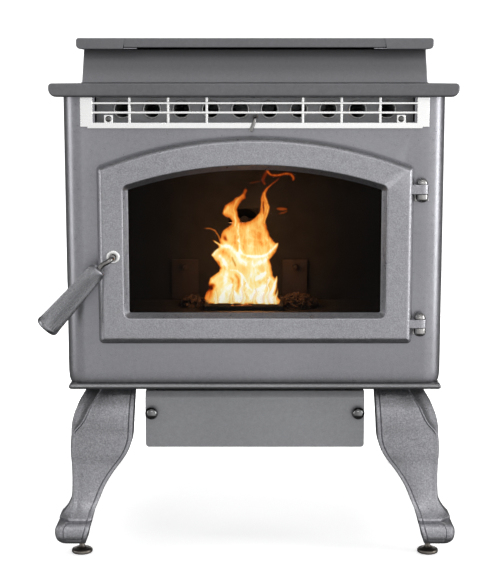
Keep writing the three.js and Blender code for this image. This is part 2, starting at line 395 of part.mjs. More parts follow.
// ---------------------------------------------------------------- legs and levellers
// z, outer edge, inner edge, wall, all of the front left leg, measured from the stove's middle
const LEG = [
  [24, -326, -288, 0.9], [29, -334, -286.7, 0.9], [42, -340, -284, 0.9], [52, -340, -281, 0.85], [67, -334, -277, 0.75], [77, -325, -274, 0.62],
  [101, -313, -264, 0.55], [133, -311.5, -249, 0.5], [158, -311.5, -232, 0.42], [181, -313, -216, 0.33], [206, -310, -207.6, 0.3], [227, -309, -206.5, 0.3], [289.7, -300, -203.5, 0.3],
];
function leg(name, kx, ky) {
  const sh = shapeOf([[0, 0], [3, 0], [3, 1], [1, 1], [1, 3], [0, 3]]);
  const n = LEG.length - 1;
  const g = new THREE.ExtrudeGeometry(sh, { depth: n, steps: n, bevelEnabled: false });
  const p = g.attributes.position;
  for (let i = 0; i < p.count; i++) {
    const [z, xo, xi, w] = LEG[Math.round(p.getZ(i))];
    const width = xi - xo, t = Math.min(width * w, width - 1.5);
    const f = (v) => (v < 0.5 ? 0 : v < 1.5 ? t : width);
    const x = xo + f(p.getX(i)), y = CAB_FRONT + (xo + CAB_HALF) + f(p.getY(i));
    const my = (CAB_FRONT + CAB_REAR) / 2;
    p.setXYZ(i, kx < 0 ? x : -x, ky < 0 ? y : 2 * my - y, z);
  }
  const my = (CAB_FRONT + CAB_REAR) / 2, lx = kx * LEVEL_X, ly = ky < 0 ? LEVEL_Y : 2 * my - LEVEL_Y;
  piece("leg_" + name, cut(solid(g), rod([lx, ly, FOOT_Z - 5], [lx, ly, FOOT_Z + 22], 4.5, 8)), GREY());
  piece("leveller_" + name, join(
    turned([[0, 0], [16.5, 0], [LEVEL_R, 1.5], [LEVEL_R, 6], [16, 8], [6.5, 9], [4, 13], [4, 20], [0, 20]], [lx, ly, 0], [0, 0, 1], 14),
    rod([lx, ly, 19], [lx, ly, FOOT_Z + 18], 4, 8)), STEEL());
}
leg("front_left", -1, -1);
leg("front_right", 1, -1);
leg("rear_left", -1, 1);
leg("rear_right", 1, 1);

// ---------------------------------------------------------------- pellet feed
const A = [POT_X, 185, 440], B = [POT_X, 58, 546.5];
const ad = [0, B[1] - A[1], B[2] - A[2]], al = Math.hypot(...ad), au = ad.map((v) => v / al);
const along = (d, from = A) => from.map((v, i) => v + au[i] * d);
{
  let s = join(rod(along(0), along(al), 38, 20).intersect(box(-100, 60, FB_REAR + GAP, 300, 300, 700)), box(POT_X - 38, POT_X + 38, 94, 166, 480, 574.7), box(POT_X - 34, POT_X + 34, FB_REAR + GAP, 92, 501, 569));
  s = cut(s, rod(along(3), along(al - 3), 35, 20), box(POT_X - 35, POT_X + 35, 97, 163, 486, 580));
  s = cut(s, box(POT_X - 31, POT_X + 31, FB_REAR - 5, 75, 504, 566), rod(along(-5), along(8), 9, 12));
  piece("auger_tube", s, GALV());
}
{
  // a flight of four turns on a shaft
  const TURNS = 3.5, SEG = 32, len = al - 22;
  const g = new THREE.BoxGeometry(1, 1, 1, SEG, 1, 1), p = g.attributes.position;
  for (let i = 0; i < p.count; i++) {
    const u = p.getX(i) + 0.5, r = p.getY(i) < 0 ? 6 : 32, a = u * TURNS * 2 * Math.PI;
    p.setXYZ(i, r * Math.cos(a), 12 + u * (len - 12) + (p.getZ(i) < 0 ? 0 : 3), r * Math.sin(a));
  }
  g.applyQuaternion(new THREE.Quaternion().setFromUnitVectors(new THREE.Vector3(0, 1, 0), new THREE.Vector3(...au)));
  g.translate(...A);
  piece("auger", join(solid(g), rod(along(-2.4), along(al - 8), 8, 12)), STEEL());
  piece("auger_motor", join(
    rod(along(-36), along(-8), 32, 20), rod(along(-84), along(-30), 24, 20), rod(along(-9), along(-3), 26, 20),
  ), paint(0x3c3f42, 0.6, 0.5));
}

// ---------------------------------------------------------------- blowers and pipes
{
  const cx0 = 122, cx1 = 188, cy = 165, cz = 395, r = 78;
  let s = join(rod([cx0, cy, cz], [cx1, cy, cz], r, 28), rod([FLUE_X, cy, FLUE_Z], [FLUE_X, 330, FLUE_Z], FLUE_R, 24),
    box(92, cx0 + 8, FB_REAR + GAP, cy + 30, 326, 379), box(92, 194, FB_REAR + GAP, FB_REAR + 30, 326, 379));
  s = cut(s, rod([cx0 + 2, cy, cz], [cx1 - 2, cy, cz], r - 2, 28), rod([FLUE_X, cy, FLUE_Z], [FLUE_X, 335, FLUE_Z], FLUE_R - 2, 24),
    box(94, cx0 - 1, FB_REAR - 5, cy + 28, 328, 377), box(94, 192, FB_REAR - 5, FB_REAR + 28, 328, 377),
    rod([cx0 - 10, cy, 355], [cx0 + 10, cy, 355], 20, 16), rod([cx1 - 9, cy, cz], [cx1 + 9, cy, cz], 6, 12));
  piece("exhaust_blower_housing", s, GALV());
  let w = join(rod([cx0 + 8, cy, cz], [cx0 + 12, cy, cz], 62, 18), rod([cx0 + 8, cy, cz], [cx1 + 12, cy, cz], 5, 12));
  for (let i = 0; i < 6; i++) {
    const g = new THREE.BoxGeometry(44, 50, 3).translate(0, 36, 0).rotateX((i * Math.PI) / 3).translate(cx0 + 33, cy, cz);
    w = join(w, solid(g));
  }
  piece("exhaust_impeller", join(w, rod([cx0 + 10, cy, cz], [cx1 - 6, cy, cz], 13, 16)), STEEL());
  piece("exhaust_motor", cut(join(rod([cx1 + 8, cy, cz], [cx1 + 62, cy, cz], 38, 20), rod([cx1 + GAP, cy, cz], [cx1 + 9, cy, cz], 22, 16)),
    rod([cx1 - 5, cy, cz], [cx1 + 16, cy, cz], 6, 12)), paint(0x3c3f42, 0.6, 0.5));
}
{
  const x0 = -240, x1 = -100, cy = 190, cz = 410, r = 72;
  // drum, riser and the plenum behind the tube sheet, one sheet weldment
  let s = join(rod([x0, cy, cz], [x1, cy, cz], r, 28), box(x0, x1, 44 + FB_REAR - 40, 92, 420, 740), box(x0, x1, 60, cy, 440, 482), box(-250, 250, 43.3, 90, 727, 776));
  s = cut(s, rod([x0 + 2, cy, cz], [x1 - 2, cy, cz], r - 2, 28), box(x0 + 2, x1 - 2, 46, 90, 422, 745), box(x0 + 2, x1 - 2, 62, cy, 442, 480), box(-246.4, 246.4, 40, 88, 732.6, 774));
  s = cut(s, rod([x0 - 5, cy, cz], [x0 + 5, cy, cz], 46, 20), rod([x1 - 5, cy, cz], [x1 + 5, cy, cz], 12, 12));
  piece("convection_blower_housing", s, GALV());
  let w = join(rod([x0 + 14, cy, cz], [x1 - 10, cy, cz], 5, 12), rod([x1 - 16, cy, cz], [x1 - 13, cy, cz], 56, 16));
  for (let i = 0; i < 12; i++) {
    const g = new THREE.BoxGeometry(110, 10, 2).rotateX(0.5).translate(0, 50, 0).rotateX((i * Math.PI) / 6).translate(x1 - 69, cy, cz);
    w = join(w, solid(g));
  }
  w = join(w, cut(rod([x0 + 14, cy, cz], [x0 + 17, cy, cz], 56, 24), rod([x0 + 10, cy, cz], [x0 + 20, cy, cz], 42, 24)));
  piece("convection_wheel", w, STEEL());
}
piece("air_intake_pipe", cut(
  join(rod([AIR_X, FB_REAR + GAP, AIR_Z], [AIR_X, 318, AIR_Z], AIR_R, 20), rod([AIR_X, FB_REAR + GAP, AIR_Z], [AIR_X, FB_REAR + 4, AIR_Z], AIR_R + 6, 20).intersect(box(-40, 80, 30, 60, 300.6, 400))),
  rod([AIR_X, FB_REAR - 5, AIR_Z], [AIR_X, 330, AIR_Z], AIR_R - 2, 20)), GALV());

// ---------------------------------------------------------------- electrics
piece("power_inlet", join(box(-260.5, -229.5, CAB_REAR - 20, CAB_REAR + GAP, 347, 367), cut(box(-266, -224, CAB_REAR + GAP, CAB_REAR + 6, 341, 373), box(-257, -233, CAB_REAR + 1.5, CAB_REAR + 9, 350, 364))), BLACK());
piece("control_panel", cut(box(CAB_HALF + GAP, CAB_HALF + 8, 120, 260, 640, 720),
  rod([CAB_HALF - 5, 155, 690], [CAB_HALF + 12, 155, 690], 4, 12)), BLACK());
piece("heat_dial", join(
  turned([[0, 0], [16, 0], [16, 3], [13, 4.5], [12, 13], [10.5, 14.5], [0, 14.5]], [CAB_HALF + 8 + GAP, 155, 690], [1, 0, 0], 20),
  rod([CAB_HALF + 2, 155, 690], [CAB_HALF + 9, 155, 690], 3.4, 12)), BLACK());

export default root;
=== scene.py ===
import bpy
import bmesh
import json
import math
import random
import numpy as np
from mathutils import Matrix, Vector

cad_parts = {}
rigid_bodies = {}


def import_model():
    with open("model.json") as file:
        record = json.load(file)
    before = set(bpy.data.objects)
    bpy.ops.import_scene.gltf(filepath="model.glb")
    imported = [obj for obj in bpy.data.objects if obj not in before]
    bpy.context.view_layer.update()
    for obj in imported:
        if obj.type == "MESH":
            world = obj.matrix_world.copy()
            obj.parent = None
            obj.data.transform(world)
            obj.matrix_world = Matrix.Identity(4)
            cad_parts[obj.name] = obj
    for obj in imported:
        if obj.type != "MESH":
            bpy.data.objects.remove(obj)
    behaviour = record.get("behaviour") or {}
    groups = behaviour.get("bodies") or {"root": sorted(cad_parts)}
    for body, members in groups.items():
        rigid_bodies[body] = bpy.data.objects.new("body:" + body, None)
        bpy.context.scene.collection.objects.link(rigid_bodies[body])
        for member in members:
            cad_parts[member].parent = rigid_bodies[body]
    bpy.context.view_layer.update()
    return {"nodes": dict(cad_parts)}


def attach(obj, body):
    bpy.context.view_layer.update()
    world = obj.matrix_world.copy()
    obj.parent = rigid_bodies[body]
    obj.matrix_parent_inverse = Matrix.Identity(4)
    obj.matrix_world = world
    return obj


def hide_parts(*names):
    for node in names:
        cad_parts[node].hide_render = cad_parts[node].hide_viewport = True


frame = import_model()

# Shapes are written in millimetres from the stove's middle at the floor: X to its right, -Y to its front.
MM, OX, OY = 0.001, 8.5, 21.0
nodes = frame["nodes"]
scene = bpy.context.scene


# ================================================================ mesh code
class Build:
    """Vertices and faces of one piece, in local millimetres."""

    def __init__(self):
        self.v, self.f = [], []

    def loop(self, pts):
        i = len(self.v)
        self.v.extend(tuple(p) for p in pts)
        return list(range(i, i + len(pts)))

    def bridge(self, a, b, closed=True):
        n = len(a)
        for i in range(n if closed else n - 1):
            j = (i + 1) % n
            self.f.append((a[i], a[j], b[j], b[i]))

    def cap(self, a):
        self.f.append(tuple(a))

    def fan(self, a, p):
        i = len(self.v)
        self.v.append(tuple(p))
        for k in range(len(a)):
            self.f.append((a[k], a[(k + 1) % len(a)], i))

    def loft(self, loops, cap0=True, cap1=True, wrap=False):
        ids = [self.loop(l) for l in loops]
        for a, b in zip(ids, ids[1:]):
            self.bridge(a, b)
        if wrap:
            self.bridge(ids[-1], ids[0])
        else:
            if cap0:
                self.cap(ids[0])
            if cap1:
                self.cap(ids[-1])
        return self

    def prism(self, pts, axis, a, b):
        """Outline extruded along an axis: 'y' takes X,Z, 'x' takes Y,Z and 'z' takes X,Y."""
        put = {"y": lambda p, d: (p[0], d, p[1]), "x": lambda p, d: (d, p[0], p[1]), "z": lambda p, d: (p[0], p[1], d)}[axis]
        return self.loft([[put(p, a) for p in pts], [put(p, b) for p in pts]])

    def box(self, x0, x1, y0, y1, z0, z1):
        return self.prism([(x0, y0), (x1, y0), (x1, y1), (x0, y1)], "z", z0, z1)

    def rbox(self, x0, x1, y0, y1, z0, z1, r=0.8, n=2):
        """A box with all its edges rounded."""
        g = grid_box(x0, x1, y0, y1, z0, z1, r, n)
        i = len(self.v)
        self.v.extend(g[0])
        self.f.extend(tuple(k + i for k in f) for f in g[1])
        return self

    def lathe(self, profile, at, d, n=48, wave=None):
        """profile of (radius, distance) from a point along direction d; wave(angle, distance) adds to the radius."""
        q = Vector((0, 0, 1)).rotation_difference(Vector(d).normalized())
        at = Vector(at)
        prev = None
        ids = []
        for r, t in profile:
            if r <= 1e-6:
                ids.append(at + q @ Vector((0, 0, t)))
                continue
            pts = []
            for k in range(n):
                a = 2 * math.pi * k / n
                rr = r + (wave(a, t) if wave else 0)
                pts.append(at + q @ Vector((rr * math.cos(a), rr * math.sin(a), t)))
            ids.append(self.loop(pts))
        for a, b in zip(ids, ids[1:]):
            if isinstance(a, list) and isinstance(b, list):
                self.bridge(a, b)
            elif isinstance(a, list):
                self.fan(a, b)
            elif isinstance(b, list):
                self.fan(b, a)
        if isinstance(ids[0], list) and isinstance(ids[-1], list) and profile[0] != profile[-1]:
            self.cap(ids[0])
            self.cap(ids[-1])
        return self

    def tube(self, path, radius, n=20, caps=True):
        """Round bar along a list of points; radius is a number or a function of 0..1."""
        pts = [Vector(p) for p in path]
        loops, up = [], None
        for i, p in enumerate(pts):
            t = (pts[min(i + 1, len(pts) - 1)] - pts[max(i - 1, 0)]).normalized()
            if up is None:
                up = Vector((0, 0, 1)) if abs(t.z) < 0.9 else Vector((1, 0, 0))
            side = t.cross(up).normalized()
            up = side.cross(t).normalized()
            r = radius(i / (len(pts) - 1)) if callable(radius) else radius
            loops.append([p + side * (r * math.cos(2 * math.pi * k / n)) + up * (r * math.sin(2 * math.pi * k / n)) for k in range(n)])
        return self.loft(loops, caps, caps)


def grid_box(x0, x1, y0, y1, z0, z1, r, n):
    b = bmesh.new()
    bmesh.ops.create_cube(b, size=1)
    for v in b.verts:
        v.co = Vector((x1 if v.co.x > 0 else x0, y1 if v.co.y > 0 else y0, z1 if v.co.z > 0 else z0))
    r = min(r, (x1 - x0) * 0.45, (y1 - y0) * 0.45, (z1 - z0) * 0.45)
    bmesh.ops.bevel(b, geom=list(b.edges), offset=r, segments=n, profile=0.5, affect="EDGES", clamp_overlap=True)
    b.verts.index_update()
    out = [tuple(v.co) for v in b.verts], [tuple(v.index for v in f.verts) for f in b.faces]
    b.free()
    return out


def arc(cx, cy, r, a0, a1, n):
    return [(cx + r * math.cos(math.radians(a0 + (a1 - a0) * i / n)), cy + r * math.sin(math.radians(a0 + (a1 - a0) * i / n))) for i in range(n + 1)]


def make(b, name, body, mat, replaces=(), sharp=34, bevel=0.0, seg=2, weighted=True, angle=30):
    me = bpy.data.meshes.new(name)
    me.from_pydata([((x + OX) * MM, (y + OY) * MM, z * MM) for x, y, z in b.v], [], b.f)
    bm = bmesh.new()
    bm.from_mesh(me)
    bmesh.ops.remove_doubles(bm, verts=list(bm.verts), dist=2e-6)
    bmesh.ops.recalc_face_normals(bm, faces=list(bm.faces))
    bm.to_mesh(me)
    bm.free()
    o = bpy.data.objects.new(name, me)
    scene.collection.objects.link(o)
    if bevel:
        m = o.modifiers.new("edge", "BEVEL")
        m.width, m.segments, m.limit_method, m.angle_limit = bevel * MM, seg, "ANGLE", math.radians(angle)
        m.harden_normals = False
        apply(o)
    me = o.data
    me.shade_smooth()
    me.set_sharp_from_angle(angle=math.radians(sharp))
    if weighted:
        w = o.modifiers.new("normals", "WEIGHTED_NORMAL")
        w.keep_sharp = True
    o.data.materials.append(mat)
    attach(o, body)
    if replaces:
        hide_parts(*([replaces] if isinstance(replaces, str) else replaces))
    return o


def apply(o):
    bpy.context.view_layer.update()
    dg = bpy.context.evaluated_depsgraph_get()
    me = bpy.data.meshes.new_from_object(o.evaluated_get(dg))
    o.modifiers.clear()
    o.data = me


def solid(b, cutters=(), joined=()):
    """Boolean of loose Builds, back as a Build."""
    def obj(x):
        me = bpy.data.meshes.new("tmp")
        me.from_pydata([tuple(v) for v in x.v], [], x.f)
        bm = bmesh.new()
        bm.from_mesh(me)
        bmesh.ops.remove_doubles(bm, verts=list(bm.verts), dist=1e-4)
        bmesh.ops.recalc_face_normals(bm, faces=list(bm.faces))
        bm.to_mesh(me)
        bm.free()
        o = bpy.data.objects.new("tmp", me)
        scene.collection.objects.link(o)
        return o
    base = obj(b)
    used = []
    for op, group in (("UNION", joined), ("DIFFERENCE", cutters)):
        for c in group:
            k = obj(c)
            used.append(k)
            m = base.modifiers.new("b", "BOOLEAN")
            m.operation, m.solver, m.object = op, "EXACT", k
    apply(base)
    out = Build()
    out.v = [tuple(v.co) for v in base.data.vertices]
    out.f = [tuple(p.vertices) for p in base.data.polygons]
    for o in [base] + used:
        bpy.data.objects.remove(o)
    return out


def arch(x0, x1, z0, zs, zp, d=0.0, rb=0.0, rs=0.0, n=40, m=6):
    """Arched outline moved in by d. rb and rs round the bottom and shoulder corners. Same number of points for any size."""
    h, s = (x1 - x0) / 2, zp - zs
    r = (h * h + s * s) / (2 * s)
    cx, cz = (x0 + x1) / 2, zp - r
    x0, x1, z0, r, h = x0 + d, x1 - d, z0 + d, r - d, h - d
    rb, rs = max(rb - d, 0.01), max(rs - d, 0.01)
    out = []
    out += arc(x0 + rb, z0 + rb, rb, 180, 270, m)
    out += [(cx + h * k / 4, z0) for k in (-2, 0, 2)]
    out += arc(x1 - rb, z0 + rb, rb, 270, 360, m)
    # centre of the shoulder's rounding: rs from the side and rs inside the arc
    ux = h - rs
    uz = math.sqrt(max((r - rs) ** 2 - ux * ux, 0))
    a1 = math.degrees(math.atan2(uz, ux))
    zsh = cz + uz
    out += [(x1, z0 + rb + (zsh - z0 - rb) * k / 4) for k in (1, 2, 3)]
    out += arc(cx + ux, zsh, rs, 0, a1, m)
    out += [(cx + r * math.cos(math.radians(a1 + (180 - 2 * a1) * i / n)), cz + r * math.sin(math.radians(a1 + (180 - 2 * a1) * i / n))) for i in range(1, n)]
    out += arc(cx - ux, zsh, rs, 180 - a1, 180, m)
    out += [(x0, zsh + (z0 + rb - zsh) * k / 4) for k in (1, 2, 3)]
    return out


def at_y(pts, y):
    return [(x, y, z) for x, z in pts]


def rrect(x0, x1, y0, y1, z, rf=0.0, rr=0.0, n=5):
    """Rectangle in plan at height z, with rounded front (rf) and rear (rr) corners."""
    rf, rr = max(rf, 0.01), max(rr, 0.01)
    p = arc(x0 + rf, y0 + rf, rf, 180, 270, n) + arc(x1 - rf, y0 + rf, rf, 270, 360, n)
    p += arc(x1 - rr, y1 - rr, rr, 0, 90, n) + arc(x0 + rr, y1 - rr, rr, 90, 180, n)
    return [(x, y, z) for x, y in p]


def edge_levels(z0, z1, rb, rt, n=7):
    zs = [z0 + rb * (1 - math.cos(math.radians(90 * i / n))) for i in range(n + 1)]
    zs += [z1 - rt * (1 - math.cos(math.radians(90 * i / n))) for i in range(n, -1, -1)]
    return zs


def inset_at(z, z0, z1, rb, rt):
    if z - z0 < rb:
        return rb - math.sqrt(max(rb * rb - (rb - (z - z0)) ** 2, 0))
    if z1 - z < rt:
        return rt - math.sqrt(max(rt * rt - (rt - (z1 - z)) ** 2, 0))
    return 0.0


def bull_slab(hx, y0, y1, z0, z1, side, front, rear=(0.6, 0.6), corner=3.0):
    """Slab whose sides and front are rounded by (bottom radius, top radius)."""
    b = Build()
    loops = []
    for z in edge_levels(z0, z1, max(side[0], front[0]), max(side[1], front[1])):
        s = inset_at(z, z0, z1, *side)
        f = inset_at(z, z0, z1, *front)
        r = inset_at(z, z0, z1, *rear)
        loops.append(rrect(-hx + s, hx - s, y0 + f, y1 - r, z, max(corner - min(s, f), 0.4), 0.8))
    return b.loft(loops)


# ================================================================ materials
def new_mat(name):
    m = bpy.data.materials.new(name)
    m.use_nodes = True
    nt = m.node_tree
    nt.nodes.clear()
    out = nt.nodes.new("ShaderNodeOutputMaterial")
    p = nt.nodes.new("ShaderNodeBsdfPrincipled")
    nt.links.new(p.outputs["BSDF"], out.inputs["Surface"])
    return m, nt, p


def coords(nt, scale=(1, 1, 1)):
    t = nt.nodes.new("ShaderNodeTexCoord")
    m = nt.nodes.new("ShaderNodeMapping")
    m.inputs["Scale"].default_value = scale
    nt.links.new(t.outputs["Object"], m.inputs["Vector"])
    return m.outputs["Vector"]


def noise(nt, vec, scale, detail=3.0, rough=0.5, distortion=0.0):
    n = nt.nodes.new("ShaderNodeTexNoise")
    n.inputs["Scale"].default_value = scale
    n.inputs["Detail"].default_value = detail
    n.inputs["Roughness"].default_value = rough
    n.inputs["Distortion"].default_value = distortion
    nt.links.new(vec, n.inputs["Vector"])
    return n.outputs["Fac"]


def ramp(nt, fac, stops, mode="LINEAR"):
    r = nt.nodes.new("ShaderNodeValToRGB")
    r.color_ramp.interpolation = mode
    e = r.color_ramp.elements
    e[0].position, e[0].color = stops[0][0], (*stops[0][1], 1)
    e[1].position, e[1].color = stops[-1][0], (*stops[-1][1], 1)
    for pos, c in stops[1:-1]:
        k = e.new(pos)
        k.color = (*c, 1)
    nt.links.new(fac, r.inputs["Fac"])
    return r.outputs["Color"]


def maprange(nt, fac, a, b, c, d, smooth=False):
    m = nt.nodes.new("ShaderNodeMapRange")
    if smooth:
        m.interpolation_type = "SMOOTHSTEP"
    for k, v in zip(("From Min", "From Max", "To Min", "To Max"), (a, b, c, d)):
        m.inputs[k].default_value = v
    nt.links.new(fac, m.inputs["Value"])
    return m.outputs["Result"]


def math_node(nt, op, a, b=None, clamp=False):
    m = nt.nodes.new("ShaderNodeMath")
    m.operation = op
    m.use_clamp = clamp
    for i, x in enumerate((a, b)):
        if x is None:
            continue
        if isinstance(x, (int, float)):
            m.inputs[i].default_value = x
        else:
            nt.links.new(x, m.inputs[i])
    return m.outputs[0]


def mix(nt, fac, a, b, mode="MIX"):
    m = nt.nodes.new("ShaderNodeMix")
    m.data_type, m.blend_type = "RGBA", mode
    for sock, x in ((m.inputs[0], fac), (m.inputs[6], a), (m.inputs[7], b)):
        if isinstance(x, (int, float)):
            sock.default_value = x
        elif isinstance(x, tuple):
            sock.default_value = (*x, 1) if len(x) == 3 else x
        else:
            nt.links.new(x, sock)
    return m.outputs[2]


def bump(nt, p, height, strength, dist, chain=None):
    b = nt.nodes.new("ShaderNodeBump")
    b.inputs["Strength"].default_value = strength
    b.inputs["Distance"].default_value = dist
    nt.links.new(height, b.inputs["Height"])
    if chain is not None:
        nt.links.new(chain, b.inputs["Normal"])
    nt.links.new(b.outputs["Normal"], p.inputs["Normal"])
    return b.outputs["Normal"]


def painted_edge_highlight(nt, radius=0.0025):
    """Painted highlight: lighter along outer (convex) edges."""
    g = nt.nodes.new("ShaderNodeNewGeometry")
    return maprange(nt, g.outputs["Pointiness"], 0.52, 0.60, 0.0, 1.0)


def coat_paint(name, base, var=0.14, rough=0.42, metallic=0.35, speck=700.0, speck_amt=0.22, bump_s=0.25, bump_d=0.0003, big=5.0, big_amt=0.10, spec=0.5, grit=0.0, edge_highlight=0.10, painted_shade=None, mottle=0.0):
    """Stove paint: fine metallic speckle, slow tonal clouds, orange peel or casting grit in the bump, a painted
    highlight along edges and, where asked, painted shade by height.
    """
    m, nt, p = new_mat(name)
    v = coords(nt)
    fine = noise(nt, v, speck, 2.0, 0.6)
    mid = noise(nt, v, speck * 0.22, 3.0, 0.6)
    large = noise(nt, v, big, 2.0, 0.5)
    lo = tuple(c * (1 - var) for c in base)
    hi = tuple(c * (1 + var) for c in base)
    c1 = ramp(nt, fine, [(0.30, tuple(c * (1 - speck_amt) for c in base)), (0.5, base), (0.72, tuple(c * (1 + speck_amt * 1.3) for c in base))])
    c2 = ramp(nt, large, [(0.35, lo), (0.65, hi)])
    c3 = mix(nt, big_amt / max(var, 0.01) * 0.5, c1, c2)
    c4 = ramp(nt, mid, [(0.3, (0.93, 0.93, 0.93)), (0.7, (1.07, 1.07, 1.07))])
    c = mix(nt, 1.0, c3, c4, "MULTIPLY")
    # painted highlight: convex edges are lightened towards a brighter copy of the base colour
    w = math_node(nt, "MULTIPLY", painted_edge_highlight(nt), edge_highlight)
    c = mix(nt, w, c, tuple(min(x * 2.2, 0.9) for x in base))
    if mottle:
        g = noise(nt, v, 300.0, 2.0, 0.5)
        c = mix(nt, 1.0, c, ramp(nt, g, [(0.3, (1 - mottle,) * 3), (0.7, (1 + mottle,) * 3)]), "MULTIPLY")
    # painted shade: the base colour is darkened by height (object Z) where shade falls
    if painted_shade:
        t = nt.nodes.new("ShaderNodeTexCoord")
        q = nt.nodes.new("ShaderNodeSeparateXYZ")
        nt.links.new(t.outputs["Object"], q.inputs[0])
        lo = maprange(nt, q.outputs["Z"], painted_shade[0], painted_shade[1], 1.0, painted_shade[3], True)
        hi = maprange(nt, q.outputs["Z"], painted_shade[1], painted_shade[2], 1.0, painted_shade[4] / painted_shade[3], True)
        k = nt.nodes.new("ShaderNodeCombineColor")
        kk = math_node(nt, "MULTIPLY", lo, hi)
        for i in range(3):
            nt.links.new(kk, k.inputs[i])
        c = mix(nt, 1.0, c, k.outputs[0], "MULTIPLY")
    nt.links.new(c, p.inputs["Base Color"])
    p.inputs["Metallic"].default_value = metallic
    p.inputs["Specular IOR Level"].default_value = spec
    r = maprange(nt, mid, 0.3, 0.7, rough - 0.05, rough + 0.06)
    nt.links.new(r, p.inputs["Roughness"])
    h = noise(nt, v, speck * 0.8, 2.0, 0.6)
    n1 = bump(nt, p, h, bump_s, bump_d)
    if grit:
        g = noise(nt, v, 330.0, 4.0, 0.62)
        bump(nt, p, g, grit, 0.0008, n1)
    return m


def metal(name, base, rough=0.3, var=0.08, scale=(1, 1, 1), freq=60.0, bump_s=0.08, metallic=1.0, spec=0.5, edge_highlight=0.0):
    """Bare or plated metal: drawn or turned lines where scale stretches the pattern, cloudy finish, fine bump."""
    m, nt, p = new_mat(name)
    v = coords(nt, scale)
    a = noise(nt, v, freq, 4.0, 0.6)
    cl = noise(nt, coords(nt), 14.0, 2.0, 0.5)
    c = ramp(nt, a, [(0.3, tuple(x * (1 - var) for x in base)), (0.7, tuple(min(x * (1 + var), 1) for x in base))])
    c = mix(nt, 0.3, c, ramp(nt, cl, [(0.3, tuple(x * (1 - 2 * var) for x in base)), (0.7, base)]))
    nt.links.new(c, p.inputs["Base Color"])
    p.inputs["Metallic"].default_value = metallic
    p.inputs["Specular IOR Level"].default_value = spec
    nt.links.new(maprange(nt, a, 0.3, 0.7, max(rough - 0.07, 0.03), rough + 0.07), p.inputs["Roughness"])
    bump(nt, p, a, bump_s, 0.0002)
    return m


M = {}
# cabinet paint darkens towards its bottom edge above the base rim: painted shade
M["cabinet"] = coat_paint("paint_cabinet", (0.292, 0.292, 0.313), rough=0.32, metallic=0.80, speck=620, speck_amt=0.17, painted_shade=(0.42, 0.312, 0.283, 0.91, 0.58))
M["top"] = coat_paint("paint_top", (0.158, 0.158, 0.168), rough=0.40, metallic=0.60, speck=620, speck_amt=0.12)
# collar paint darkens towards its top, under the lid's overhang: painted shade
M["collar"] = coat_paint("paint_collar", (0.215, 0.215, 0.228), rough=0.44, metallic=0.55, speck=620, speck_amt=0.12, painted_shade=(0.804, 0.832, 0.857, 0.66, 0.26))
M["rim"] = coat_paint("paint_rim", (0.115, 0.115, 0.120), rough=0.17, metallic=0.60, speck=620, speck_amt=0.08, bump_s=0.06, spec=0.9, edge_highlight=0.0)
M["door"] = coat_paint("cast_door", (0.350, 0.350, 0.372), rough=0.32, metallic=0.80, mottle=0.06, speck=560, speck_amt=0.34, bump_s=0.5, bump_d=0.0004, grit=0.45, edge_highlight=0.3)
# leg casting darkens towards its top, under the base rim: painted shade
M["leg"] = coat_paint("cast_leg", (0.366, 0.366, 0.389), rough=0.32, metallic=0.82, speck=520, speck_amt=0.36, bump_s=0.5, bump_d=0.0005, grit=0.42, edge_highlight=0.35, mottle=0.16, painted_shade=(0.14, 0.21, 0.275, 0.79, 0.68))
M["ash"] = coat_paint("paint_ash_pan", (0.262, 0.264, 0.276), rough=0.42, metallic=0.50, speck=620, speck_amt=0.12)
M["nickel"] = metal("nickel_plate", (0.99, 0.99, 0.982), rough=0.26, var=0.008, scale=(0.06, 1, 1), freq=260, bump_s=0.010, metallic=0.96)
M["washer"] = metal("bright_washer", (0.96, 0.96, 0.95), rough=0.22, var=0.02, freq=200, bump_s=0.05, metallic=0.6)
M["shaft"] = metal("drawn_steel", (0.25, 0.24, 0.235), rough=0.24, var=0.12, scale=(1, 1, 1), freq=140, bump_s=0.05)
M["knob"] = metal("knob_steel", (0.19, 0.19, 0.192), rough=0.09, var=0.08, freq=90, bump_s=0.03)
M["pin"] = metal("hinge_steel", (0.34, 0.335, 0.33), rough=0.33, var=0.15, freq=120, bump_s=0.15)
M["screw"] = metal("screw_steel", (0.15, 0.148, 0.145), rough=0.22, var=0.15, freq=120, bump_s=0.08)
M["hinge"] = metal("turned_steel", (0.40, 0.39, 0.385), rough=0.24, var=0.12, freq=130, bump_s=0.08)
M["hook"] = metal("hook_steel", (0.26, 0.255, 0.25), rough=0.27, var=0.2, freq=120, bump_s=0.12)
M["grip"] = coat_paint("grip_metal", (0.285, 0.285, 0.302), rough=0.27, metallic=0.92, speck=900, speck_amt=0.30, bump_s=0.15, bump_d=0.0002, edge_highlight=0.35)
M["level"] = metal("leveller_steel", (0.20, 0.18, 0.16), rough=0.40, var=0.25, freq=90, bump_s=0.2)
M["steel"] = metal("mill_steel", (0.38, 0.375, 0.37), rough=0.4, var=0.15, freq=90, bump_s=0.15)
M["tube"] = metal("tube_end_steel", (0.80, 0.80, 0.79), rough=0.35, var=0.08, freq=150, bump_s=0.08, metallic=0.6)
M["motor"] = coat_paint("motor_paint", (0.04, 0.042, 0.045), rough=0.5, metallic=0.2, speck=500, speck_amt=0.25)


